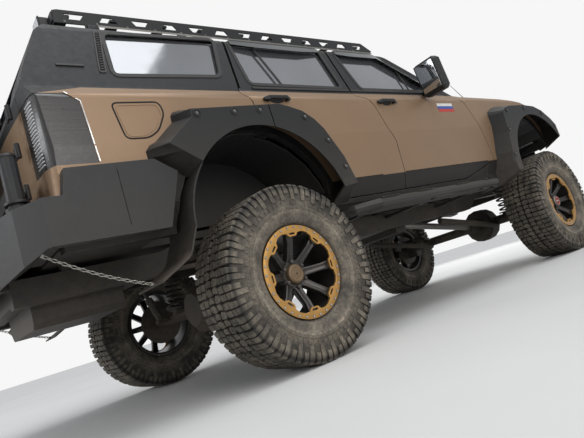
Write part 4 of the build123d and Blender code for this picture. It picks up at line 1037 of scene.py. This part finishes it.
# Rear bumper: (y, z) of the low lamps, the reflectors and the bolts, and x, low, high of the plates' seam
rearBumper = dict(lamp=(740, 770), lampTurn=0.25, leds=8, ledPitch=0.0136, reflector=(640, 905),
                  bolts=((540, 860), (540, 930), (120, 930), (300, 930)), seam=(-760, 800, 1040), behind=-1700)


def addBumperTrim(side, sign):
    slot, strips, marker, seam = (newShape() for _ in range(4))
    look, behind = rearBumper, rearBumper["behind"]
    box(slot, (-0.062, -0.0135, -0.003), (0.062, 0.0135, 0.004))
    soften(slot, 0.004, 2)
    for k in range(look["leds"]):
        box(strips, (-0.054 + k * look["ledPitch"], -0.0075, 0.003), (-0.0425 + k * look["ledPitch"], 0.0075, 0.0062))
    soften(strips, 0.001, 1)
    for shape in (slot, strips):
        y, z = look["lamp"]
        mounted(shape, "rear_bumper", place(behind, sign * y, z), (1, -sign * look["lampTurn"], 0))
    box(marker, (-0.04, -0.016, -0.003), (0.04, 0.016, 0.005))
    soften(marker, 0.004, 2)
    mounted(marker, "rear_bumper", place(behind, sign * look["reflector"][0], look["reflector"][1]), (1, 0, 0))
    bolts = boltsOn("rear_bumper", [place(behind, sign * y, z) for y, z in look["bolts"]], (1, 0, 0))
    x, low, high = look["seam"]
    box(seam, place(x - 1.5, sign * 971, low), place(x + 1.5, sign * 973, high))
    parts = [(slot, "plastic"), (strips, "led"), (marker, "reflector"), (bolts, "darkSteel"), (seam, "gap")]
    piece(joined("bumper_trim_" + side, parts), "body")


# Hinges of the tail doors, and the pins of the bow shackles
tailHinge = dict(spot=(-1052, 752), heights=(1050, 1230, 1400), half=0.032, radius=0.011)
shacklePin = dict(spot=(-1258, 480, 748), near=33, far=41, radius=0.0115)


def addHinges(side, sign):
    hinges, pins = newShape(), newShape()
    for z in tailHinge["heights"]:
        x, y = tailHinge["spot"]
        spot, up = place(x, sign * y, z), Vector((0, 0, tailHinge["half"]))
        inner, outer = (-0.05, 0.004) if sign > 0 else (-0.004, 0.05)
        post(hinges, spot - up, spot + up, tailHinge["radius"], 14)
        box(hinges, spot + Vector((-0.004, inner, -0.026)), spot + Vector((0.004, outer, 0.026)))
    soften(hinges, 0.002, 2)
    piece(joined("tail_hinges_" + side, [(hinges, "plastic")]), "tail_door_" + side)
    x, y, z = shacklePin["spot"]
    for end in (-1, 1):
        post(pins, place(x, sign * y + end * shacklePin["near"], z), place(x, sign * y + end * shacklePin["far"], z),
             shacklePin["radius"], 6)
    soften(pins, 0.001, 1)
    piece(joined("shackle_pins_" + side, [(pins, "chain")]), "body")


# Handle and wiper of the right tail door
tailDoor = dict(
    handle=(-2000, -100, 1180), wiperLift=0.016, bladeOut=0.006,
    wiper=(("tail_door_right", -60, 1470), ("tail_glass_right", -330, 1540), ("tail_glass_right", -480, 1560),
           ("tail_glass_right", -120, 1510)),
)


def addTailDoor():
    grip, back, arm = newShape(), newShape(), newShape()
    box(grip, (-0.075, -0.013, 0.014), (0.075, 0.013, 0.03))
    for end in (-1, 1):
        box(grip, (end * 0.07 - 0.012, -0.013, 0), (end * 0.07 + 0.012, 0.013, 0.028))
    box(back, (-0.095, -0.03, -0.002), (0.095, 0.03, 0.003))
    soften(grip, 0.005, 3)
    soften(back, 0.002, 2)
    for shape in (grip, back):
        mounted(shape, "tail_door_right", place(*tailDoor["handle"]), (1, 0, 0))
    spots = [hit(node, place(-2000, y, z), (1, 0, 0)) for node, y, z in tailDoor["wiper"]]
    lifts = [spot + normal * tailDoor["wiperLift"] for spot, normal in spots]
    blade = Vector((tailDoor["bladeOut"], 0, 0))
    post(arm, spots[0][0], lifts[0], 0.016, 20)
    post(arm, lifts[0], lifts[1], 0.006, 8, 0.004)
    post(arm, lifts[2] + blade, lifts[3] + blade, 0.005, 6)
    soften(arm, 0.001, 1)
    piece(joined("tail_door_fittings", [(grip, "plastic"), (back, "gap"), (arm, "plastic")]), "tail_door_right")


# a blank number plate in its holder: half its size, and the holder's border
def makePlate(half, border):
    plate, holder = newShape(), newShape()
    (x, y), (bx, by) = half, border
    box(holder, (-x, -y, -0.004), (x, y, 0.004))
    box(plate, (bx - x, by - y, 0), (x - bx, y - by, 0.006))
    soften(plate, 0.0015, 2)
    soften(holder, 0.003, 2)
    return plate, holder


rearPlate = dict(spot=(-1700, 150, 880), half=(0.265, 0.062), border=(0.007, 0.007), lift=0.001)


def addRearPlate():
    plate, holder = makePlate(rearPlate["half"], rearPlate["border"])
    lamp = newShape()
    box(lamp, (-0.05, 0.068, -0.004), (0.05, 0.09, 0.016))
    soften(lamp, 0.005, 2)
    parts = [(plate, "plate"), (holder, "plastic"), (lamp, "plastic")]
    for shape, key in parts:
        mounted(shape, "rear_bumper", place(*rearPlate["spot"]), (1, 0, 0), rearPlate["lift"])
    piece(joined("blank_plate", parts), "body")


# Cap and latch of the spare wheel's carrier, and its wheel nuts
carrierFittings = dict(
    hinge=(-1110, -800), capLow=985, capHigh=1180,
    latch=(((-1140, 560, 1012), (-1134, 640, 1048)), ((-1156, 600, 1022), (-1138, 612, 1130))),
    wheel=(60, 1402), nuts=5, nutCircle=64.5, nutNear=-1302, nutFar=-1328, nutRadius=0.011,
)


def addCarrierFittings():
    cap, latch, nuts = newShape(), newShape(), newShape()
    look = carrierFittings
    top, low = place(*look["hinge"], look["capHigh"]), place(*look["hinge"], look["capLow"])
    post(cap, top, top + Vector((0, 0, 0.014)), 0.037, 28, 0.03)
    post(cap, low, low + Vector((0, 0, 0.011)), 0.047, 28)
    soften(cap, 0.002, 2)
    for low, high in look["latch"]:
        box(latch, place(*low), place(*high))
    soften(latch, 0.003, 2)
    for k in range(look["nuts"]):
        angle = math.tau * k / look["nuts"]
        y = look["wheel"][0] + math.cos(angle) * look["nutCircle"]
        z = look["wheel"][1] + math.sin(angle) * look["nutCircle"]
        post(nuts, place(look["nutNear"], y, z), place(look["nutFar"], y, z), look["nutRadius"], 6)
    soften(nuts, 0.0012, 1)
    piece(joined("carrier_fittings", [(cap, "powder"), (latch, "darkSteel"), (nuts, "bright")]), "carrier")


def addRear():
    for side, sign in sides:
        addTailLamp(side, sign)
        addBumperTrim(side, sign)
        addHinges(side, sign)
    addTailDoor()
    addRearPlate()
    addCarrierFittings()


# Front lamps: (y, radius) of the bowls behind the clear lens, light bars above and below them, and the fog lamps
frontLamps = dict(
    bowls=((585, 0.052), (710, 0.044)), bowlHeight=1112, bars=(1050, 1180), barY=645, fog=(620, 860),
    bolts=((520, 800), (720, 800), (520, 920), (300, 850), (750, 900)), boltSize=0.0075,
    # profiles as (along, radius), the first two with the radius as a share of the bowl's
    bowl=((-0.022, 0.6), (-0.002, 1), (0.002, 1), (0.002, 0.92), (-0.016, 0.6)),
    lens=((-0.022, 0.55), (-0.004, 0.42), (0.004, 0.2)),
    fogRing=((-0.004, 0.052), (0.008, 0.052), (0.012, 0.048), (0.008, 0.04), (0.001, 0.038), (-0.004, 0.038)),
    fogLens=((-0.004, 0.001), (-0.004, 0.0385), (0.003, 0.0375), (0.008, 0.02), (0.009, 0.001)),
)


def addFrontLamps(side, sign):
    look, back = frontLamps, (-1, 0, 0)
    bowls, lenses, bars, fog, fogLens = (newShape() for _ in range(5))
    for y, radius in look["bowls"]:
        bowl, lens = newShape(), newShape()
        bowlShape, lensShape = ([(a, r * radius) for a, r in look[key]] for key in ("bowl", "lens"))
        turned(bowl, [(-0.03, 0.004)] + bowlShape + [(-0.02, 0.004)], 32, upright=True)
        turned(lens, [(-0.022, 0.001)] + lensShape + [(0.006, 0.001)], 24, upright=True)
        for shape, whole in ((bowl, bowls), (lens, lenses)):
            absorb(whole, mounted(shape, "head_lamps", place(4200, sign * y, look["bowlHeight"]), back, 0.001))
    for z in look["bars"]:
        bar = newShape()
        box(bar, (-0.115, -0.004, -0.002), (0.115, 0.004, 0.004))
        soften(bar, 0.002, 2)
        absorb(bars, mounted(bar, "head_lamps", place(4200, sign * look["barY"], z), back))
    turned(fog, look["fogRing"], 32, upright=True)
    turned(fogLens, look["fogLens"], 28, upright=True)
    for shape in (fog, fogLens):
        mounted(shape, "front_bumper", place(4400, sign * look["fog"][0], look["fog"][1]), back)
    bolts = boltsOn("front_bumper", [place(4400, sign * y, z) for y, z in look["bolts"]], back, look["boltSize"])
    piece(joined("front_lamps_" + side, [(bowls, "bright"), (lenses, "led"), (bars, "led"), (fog, "plastic"),
                                         (fogLens, "led"), (bolts, "darkSteel")]), "body")


# Mirror glass: place, and half the size of the glass and of its frame
mirror = dict(spot=(1200, 1010, 1530), glass=(0.074, 0.102), frame=(0.082, 0.11))
mats["mirrorGlass"] = finish("mirrorGlass", (0.5, 0.52, 0.54), rough=0.05, metal=1.0, dust=0.1, grain=300, bump=0.01,
                             mottle=0.02)


def addMirrorGlass(side, sign):
    glass, border = newShape(), newShape()
    x, y = mirror["glass"]
    box(glass, (-x, -y, -0.001), (x, y, 0.0025))
    x, y = mirror["frame"]
    box(border, (-x, -y, -0.003), (x, y, 0.0005))
    soften(glass, 0.014, 3, 60)
    soften(border, 0.016, 3, 60)
    x, y, z = mirror["spot"]
    for shape in (glass, border):
        mounted(shape, "mirror_" + side, place(x, sign * y, z), (1, 0, 0))
    piece(joined("mirror_glass_" + side, [(glass, "mirrorGlass"), (border, "gap")]), "door_front_" + side)


# Brake calipers: how far out they sit (mm), their radius (m) and their angle behind or ahead of the axle
calipers = dict(rear=708, front=730, radius=0.128, lean=dict(rear=62, front=-62))


def addCaliper(end, x, body, side, sign):
    caliper = newShape()
    box(caliper, (-0.055, 0, -0.034), (0.055, 0.036, 0.034))
    box(caliper, (-0.03, 0.0355, -0.02), (0.03, 0.044, 0.02))
    soften(caliper, 0.006, 2)
    spot = Matrix.Translation(place(x, 0, 440)) @ Matrix.Rotation(math.radians(calipers["lean"][end]), 4, "Y")
    spot = spot @ Matrix.Translation((0, calipers[end] / 1000, calipers["radius"]))
    bmesh.ops.transform(caliper, matrix=spot, verts=caliper.verts)
    if sign < 0:
        mirrored(caliper)
    piece(joined("caliper_%s_%s" % (end, side), [(caliper, "alloy")]), body)


# Light bar, fairlead and blank plate of the front bumper
bumperBar = dict(half=0.27, height=995, leds=20, ledPitch=0.0258, fairleadHeight=925, plateHeight=832,
                 plateHalf=(0.2, 0.047), plateBorder=(0.007, 0.006), lift=0.001)


def addBumperBar():
    case, leds, fairlead, mouth = (newShape() for _ in range(4))
    look = bumperBar
    box(case, (-look["half"], -0.024, -0.004), (look["half"], 0.024, 0.012))
    for k in range(look["leds"]):
        box(leds, (-0.256 + k * look["ledPitch"], -0.016, 0.01), (-0.236 + k * look["ledPitch"], 0.016, 0.0145))
    box(fairlead, (-0.12, -0.045, -0.003), (0.12, 0.045, 0.014))
    box(mouth, (-0.085, -0.013, 0.012), (0.085, 0.013, 0.0155))
    plate, holder = makePlate(look["plateHalf"], look["plateBorder"])
    for shape, width in ((case, 0.006), (leds, 0.0015), (fairlead, 0.008), (mouth, 0.001)):
        soften(shape, width, 2)
    rows = ((case, look["height"], 0), (leds, look["height"], 0), (fairlead, look["fairleadHeight"], 0),
            (mouth, look["fairleadHeight"], 0), (plate, look["plateHeight"], look["lift"]),
            (holder, look["plateHeight"], look["lift"]))
    for shape, z, lift in rows:
        mounted(shape, "front_bumper", place(4400, 0, z), (-1, 0, 0), lift)
    parts = [(case, "plastic"), (leds, "led"), (fairlead, "powder"), (mouth, "gap"), (holder, "plastic"),
             (plate, "plate")]
    piece(joined("bumper_bar", parts), "body")


# Louvres of the two bonnet vents, in millimetres
bonnetVents = dict(count=7, first=2620, pitch=34, length=12, y=330, half=85, above=0.005, below=-0.003)


def addBonnetVents():
    vents = newShape()
    look = bonnetVents
    for sign in (-1, 1):
        for k in range(look["count"]):
            x, y = look["first"] + k * look["pitch"], sign * look["y"]
            box(vents, place(x, y - look["half"], 1300), place(x + look["length"], y + look["half"], 1312))
    for vert in vents.verts:  # the blocks are laid on the bonnet
        spot, normal = hit("bonnet", (vert.co.x, vert.co.y, 2.2), (0, 0, -1))
        vert.co.z = spot.z + look["above" if vert.co.z > 1.306 else "below"]
    soften(vents, 0.0015, 1)
    piece(joined("bonnet_vents", [(vents, "plastic")]), "bonnet")


# Wipers: (y in mm, height share) of the root and of the blade's two tips
wipers = (((-560, 0.04), (-650, 0.2), (-120, 0.24)), ((60, 0.04), (-30, 0.22), (520, 0.2)))


def addWipers():
    shape = newShape()
    for row in wipers:
        spots = []
        for y, up in row:
            spot, normal = hit("fixed_glass", (2.5, y / 1000, 1.5 + up * 0.8), (-1, 0, 0))
            spots.append((spot + normal * 0.014, normal))
        (root, rootOut), (tipA, outA), (tipB, outB) = spots
        post(shape, root - rootOut * 0.012, root + rootOut * 0.006, 0.014, 18)
        post(shape, root, (tipA + tipB) / 2, 0.006, 8, 0.004)
        post(shape, tipA - outA * 0.007, tipB - outB * 0.007, 0.0055, 6)
    soften(shape, 0.001, 1)
    piece(joined("wipers", [(shape, "plastic")]), "body")


aerial = dict(spot=(2420, -800, 2600), foot=0.014, lean=(-0.19, 0, 0.17), rod=0.003)


def addAerial():
    shape = newShape()
    spot, normal = hit("nose_panels", place(*aerial["spot"]), (0, 0, -1))
    post(shape, spot - Vector((0, 0, 0.004)), spot + Vector((0, 0, 0.02)), aerial["foot"], 20, 0.008)
    post(shape, spot + Vector((0, 0, 0.018)), spot + Vector(aerial["lean"]), aerial["rod"], 8, 0.0018)
    soften(shape, 0.001, 1)
    piece(joined("aerial", [(shape, "plastic")]), "body")


def addFront():
    for side, sign in sides:
        addFrontLamps(side, sign)
        addMirrorGlass(side, sign)
        addCaliper("rear", 0, "body", side, sign)
        addCaliper("front", wheelSpots["frontAxle"], "knuckle_" + side, side, sign)
    addBumperBar()
    addBonnetVents()
    addWipers()
    addAerial()


# Roof rack fittings and step grips, in millimetres
rack = dict(heads=14, firstHead=-690, headPitch=158, headZ=1921, feet=(-560, -60, 440, 940, 1380), footHalf=26,
            foot=(655, 671, 1868, 1912), lampY=560, lamps=4, lampPitch=20)
stepGrips = dict(middles=(820, 1180, 1620, 1980), pads=6, pitch=28, length=18, y=975, half=22, z=(727, 733))


def addRoof():
    for side, sign in sides:
        heads, feet, lampFace, lampGlass, pads = (newShape() for _ in range(5))
        for k in range(rack["heads"]):
            x = rack["firstHead"] + k * rack["headPitch"]
            post(heads, place(x, sign * 663, rack["headZ"]), place(x, sign * 667, rack["headZ"]), 0.0075, 12, 0.006)
        near, far, low, high = rack["foot"]
        for x in rack["feet"]:
            box(feet, place(x - rack["footHalf"], sign * near, low), place(x + rack["footHalf"], sign * far, high))
            post(feet, place(x, sign * far, 1892), place(x, sign * (far + 5), 1892), 0.009, 6)
        soften(heads, 0.001, 1)
        soften(feet, 0.002, 2)
        middle = sign * rack["lampY"]
        box(lampFace, place(-794, middle - 47, 1911), place(-786, middle + 47, 1979))
        for k in range(rack["lamps"]):
            y = middle - 38 + k * rack["lampPitch"]
            box(lampGlass, place(-798, y, 1922), place(-792, y + 16, 1968))
        soften(lampFace, 0.003, 2)
        soften(lampGlass, 0.002, 2)
        piece(joined("rack_fittings_" + side, [(heads, "darkSteel"), (feet, "powder"), (lampFace, "plastic"),
                                               (lampGlass, "led")]), "body")
        y, half, (low, high) = sign * stepGrips["y"], stepGrips["half"], stepGrips["z"]
        for middle in stepGrips["middles"]:
            for k in range(stepGrips["pads"]):
                x = middle - 80 + k * stepGrips["pitch"]
                box(pads, place(x, y - half, low), place(x + stepGrips["length"], y + half, high))
        soften(pads, 0.0015, 1)
        piece(joined("step_grips_" + side, [(pads, "plastic")]), "body")


# Seats: pads blown up by cloth, then given their sewn channels
# name, middle (mm), tilt (degrees), length, width, thickness, then the sewn channels' places across and along
seatTable = (
    ("front_base_right", (1320, -390, 1018), 0, 480, 470, 145, (-120, 120), (60,)),
    ("front_base_left", (1320, 390, 1018), 0, 480, 470, 145, (-120, 120), (60,)),
    ("front_back_right", (1060, -390, 1330), 78, 540, 450, 118, (-115, 115), (-60, 110)),
    ("front_back_left", (1060, 390, 1330), 78, 540, 450, 118, (-115, 115), (-60, 110)),
    ("bench_base", (695, 0, 1025), 0, 450, 1270, 128, (-420, -215, 215, 420), (40,)),
    ("bench_back", (450, 0, 1332), 78, 500, 1270, 116, (-420, -215, 215, 420), (60,)),
)
padding = dict(shrink=0.012, edge=0.03, voxel=0.013, cap=0.024, pressure=4.0, frames=20, crown=0.1, waist=0.03,
               channelDepth=0.011, channelWidth=0.009)


# the mesh of an object with its modifiers applied
def baked(obj):
    graph = bpy.context.evaluated_depsgraph_get()
    graph.update()
    return bpy.data.meshes.new_from_object(obj.evaluated_get(graph))


def addCushion(name, middle, tilt, length, width, thick, acrossLines, alongLines):
    bm = newShape()
    size = [v / 1000 - 2 * padding["shrink"] for v in (length, width, thick)]
    box(bm, [-v / 2 for v in size], [v / 2 for v in size])
    roundEdges(bm, list(bm.edges), padding["edge"], 3)
    mesh = bpy.data.meshes.new("pad_" + name)
    bm.to_mesh(mesh)
    bm.free()
    pad = bpy.data.objects.new("pad_" + name, mesh)
    bpy.context.scene.collection.objects.link(pad)
    remesh = pad.modifiers.new("remesh", "REMESH")
    remesh.mode = "VOXEL"
    remesh.voxel_size = padding["voxel"]
    pad.data = baked(pad)
    pad.modifiers.clear()
    rest = [v.co.copy() for v in pad.data.vertices]
    cloth = pad.modifiers.new("cloth", "CLOTH")
    cloth.settings.use_pressure = True
    cloth.settings.uniform_pressure_force = padding["pressure"]
    cloth.settings.effector_weights.gravity = 0
    cloth.point_cache.frame_start = 1
    cloth.point_cache.frame_end = padding["frames"]
    for step in range(1, padding["frames"] + 1):
        bpy.context.scene.frame_set(step)
    swollen = baked(pad)
    pad.modifiers.clear()
    bpy.context.scene.frame_set(1)
    for k, vert in enumerate(swollen.vertices):
        move = vert.co - rest[k]
        if move.length > padding["cap"]:
            vert.co = rest[k] + move.normalized() * padding["cap"]
    pad.data = swollen
    smooth = pad.modifiers.new("smooth", "SUBSURF")
    smooth.levels = smooth.render_levels = 1
    pad.data = baked(pad)
    pad.modifiers.clear()
    for vert in pad.data.vertices:
        x, y, z = vert.co * 1000
        crown = 1 + padding["crown"] * (1 - (2 * x / length) ** 2) * (1 - (2 * y / width) ** 2)
        near = min([abs(y - line) for line in acrossLines] + [abs(x - line) for line in alongLines])
        if z > 0:
            channel = math.exp(-(near / 1000 / padding["channelWidth"]) ** 2)
            vert.co.z = vert.co.z * crown - padding["channelDepth"] * channel
        vert.co.x *= 1 - padding["waist"] * math.cos(math.pi * min(abs(y) / width, 0.5))
    limits = [v / 2000 for v in (length, width, thick)]
    for vert in pad.data.vertices:
        vert.co.x, vert.co.y = (max(-limits[k], min(limits[k], vert.co[k])) for k in (0, 1))
        vert.co.z = max(-limits[2], min(limits[2] + 0.004, vert.co.z))
    pad.data.transform(Matrix.Translation(place(*middle)) @ Matrix.Rotation(math.radians(tilt), 4, "Y"))
    pad.data.name = "pad_" + name
    pad.data.materials.clear()
    pad.data.materials.append(mats["fabric"])
    for face in pad.data.polygons:
        face.use_smooth = True
    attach(pad, "body")
    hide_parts("seats")


# frames under the seats, and head rests on their rods: middles, then corners about a middle
seatFrames = (((-390, 390), (1150, -200, 830), (1500, 200, 945)), ((0,), (520, -600, 830), (860, 600, 965)))
headRests = (
    ((-390, 390), (985, -130, 1610), (1065, 130, 1770), 60, (1000, 1560), (1015, 1630)),
    ((-430, 0, 430), (372, -120, 1580), (442, 120, 1710), 50, (400, 1540), (408, 1590)),
)


def addSeats():
    for row in seatTable:
        addCushion(*row)
    frames, rests, rods = newShape(), newShape(), newShape()
    for middles, (x0, y0, z0), (x1, y1, z1) in seatFrames:
        for y in middles:
            box(frames, place(x0, y + y0, z0), place(x1, y + y1, z1))
    for middles, (x0, y0, z0), (x1, y1, z1), apart, (lowX, lowZ), (highX, highZ) in headRests:
        for y in middles:
            box(rests, place(x0, y + y0, z0), place(x1, y + y1, z1))
            for rod in (y - apart, y + apart):
                post(rods, place(lowX, rod, lowZ), place(highX, rod, highZ), 0.006, 8)
    soften(frames, 0.012, 2)
    roundEdges(rests, list(rests.edges), padding["edge"], 4)
    piece(joined("seat_frames", [(frames, "plastic"), (rods, "bright")]), "body", replaces=("seats",))
    heads = piece(joined("head_rests", [(rests, "fabric")]), "body")


addDoorCards()
addChains()
addRear()
addFront()
addRoof()
print("stage: ends and roof")
addSeats()
print("stage: seats")


# Floor, lights and surroundings
studio = dict(floor=((0.55, 0.55, 0.54), (0.6, 0.595, 0.585)), floorSize=45, floorRough=0.9, around=(0.5, 0.515, 0.54),
              reflected=(0.66, 0.67, 0.69), seen=(0.93, 0.93, 0.93))


def addStage():
    bm = newShape()
    bmesh.ops.create_circle(bm, cap_ends=True, radius=studio["floorSize"], segments=64)
    mesh = bpy.data.meshes.new("floor")
    bm.to_mesh(mesh)
    bm.free()
    floor = bpy.data.objects.new("floor", mesh)
    bpy.context.scene.collection.objects.link(floor)
    made = bpy.data.materials.new("paleFloor")
    made.use_nodes = True
    tree = made.node_tree
    shader = tree.nodes["Principled BSDF"]
    shade = mixColour(tree, ramp(tree, noise(tree, 0.8, 5.0), 0.3, 0.7), *studio["floor"])
    tree.links.new(shade, shader.inputs["Base Color"])
    shader.inputs["Roughness"].default_value = studio["floorRough"]
    mesh.materials.append(made)


# name, place, aim, size (m, or degrees for the sky), power, colour
lights = (
    ("sky", (0.5, -1.6, 7.0), (0, 0, 0.8), 50, 1.55, (0.97, 0.985, 1.0)),
    ("side", (-1.5, -7.0, 3.2), (0, 0, 0.9), 4.5, 170, (1.0, 0.98, 0.95)),
    ("rear", (-7.5, 1.5, 3.0), (-0.5, 0, 1.0), 3.5, 130, (0.96, 0.98, 1.0)),
    ("front", (7.5, 3.0, 3.5), (0.5, 0, 1.0), 4.0, 150, (1.0, 0.99, 0.97)),
)


def addLights():
    for name, spot, aim, size, power, colour in lights:
        lamp = bpy.data.lights.new(name, "SUN" if name == "sky" else "AREA")
        if name == "sky":
            lamp.angle = math.radians(size)
        else:
            lamp.shape = "DISK"
            lamp.size = size
        lamp.energy = power
        lamp.color = colour
        holder = bpy.data.objects.new(name, lamp)
        holder.location = spot
        holder.rotation_euler = (Vector(spot) - Vector(aim)).to_track_quat("Z", "Y").to_euler()
        bpy.context.scene.collection.objects.link(holder)
    world = bpy.data.worlds.new("studio")
    bpy.context.scene.world = world
    world.use_nodes = True
    tree = world.node_tree
    back = tree.nodes["Background"]
    path = addNode(tree, "LightPath")
    shade = mixColour(tree, path.outputs["Is Glossy Ray"], studio["around"], studio["reflected"])
    shade = mixColour(tree, path.outputs["Is Camera Ray"], shade, studio["seen"])
    tree.links.new(shade, back.inputs[0])
    back.inputs[1].default_value = 1.0


addStage()
addLights()
bpy.context.scene.view_settings.view_transform = "Standard"
print("stage: light")
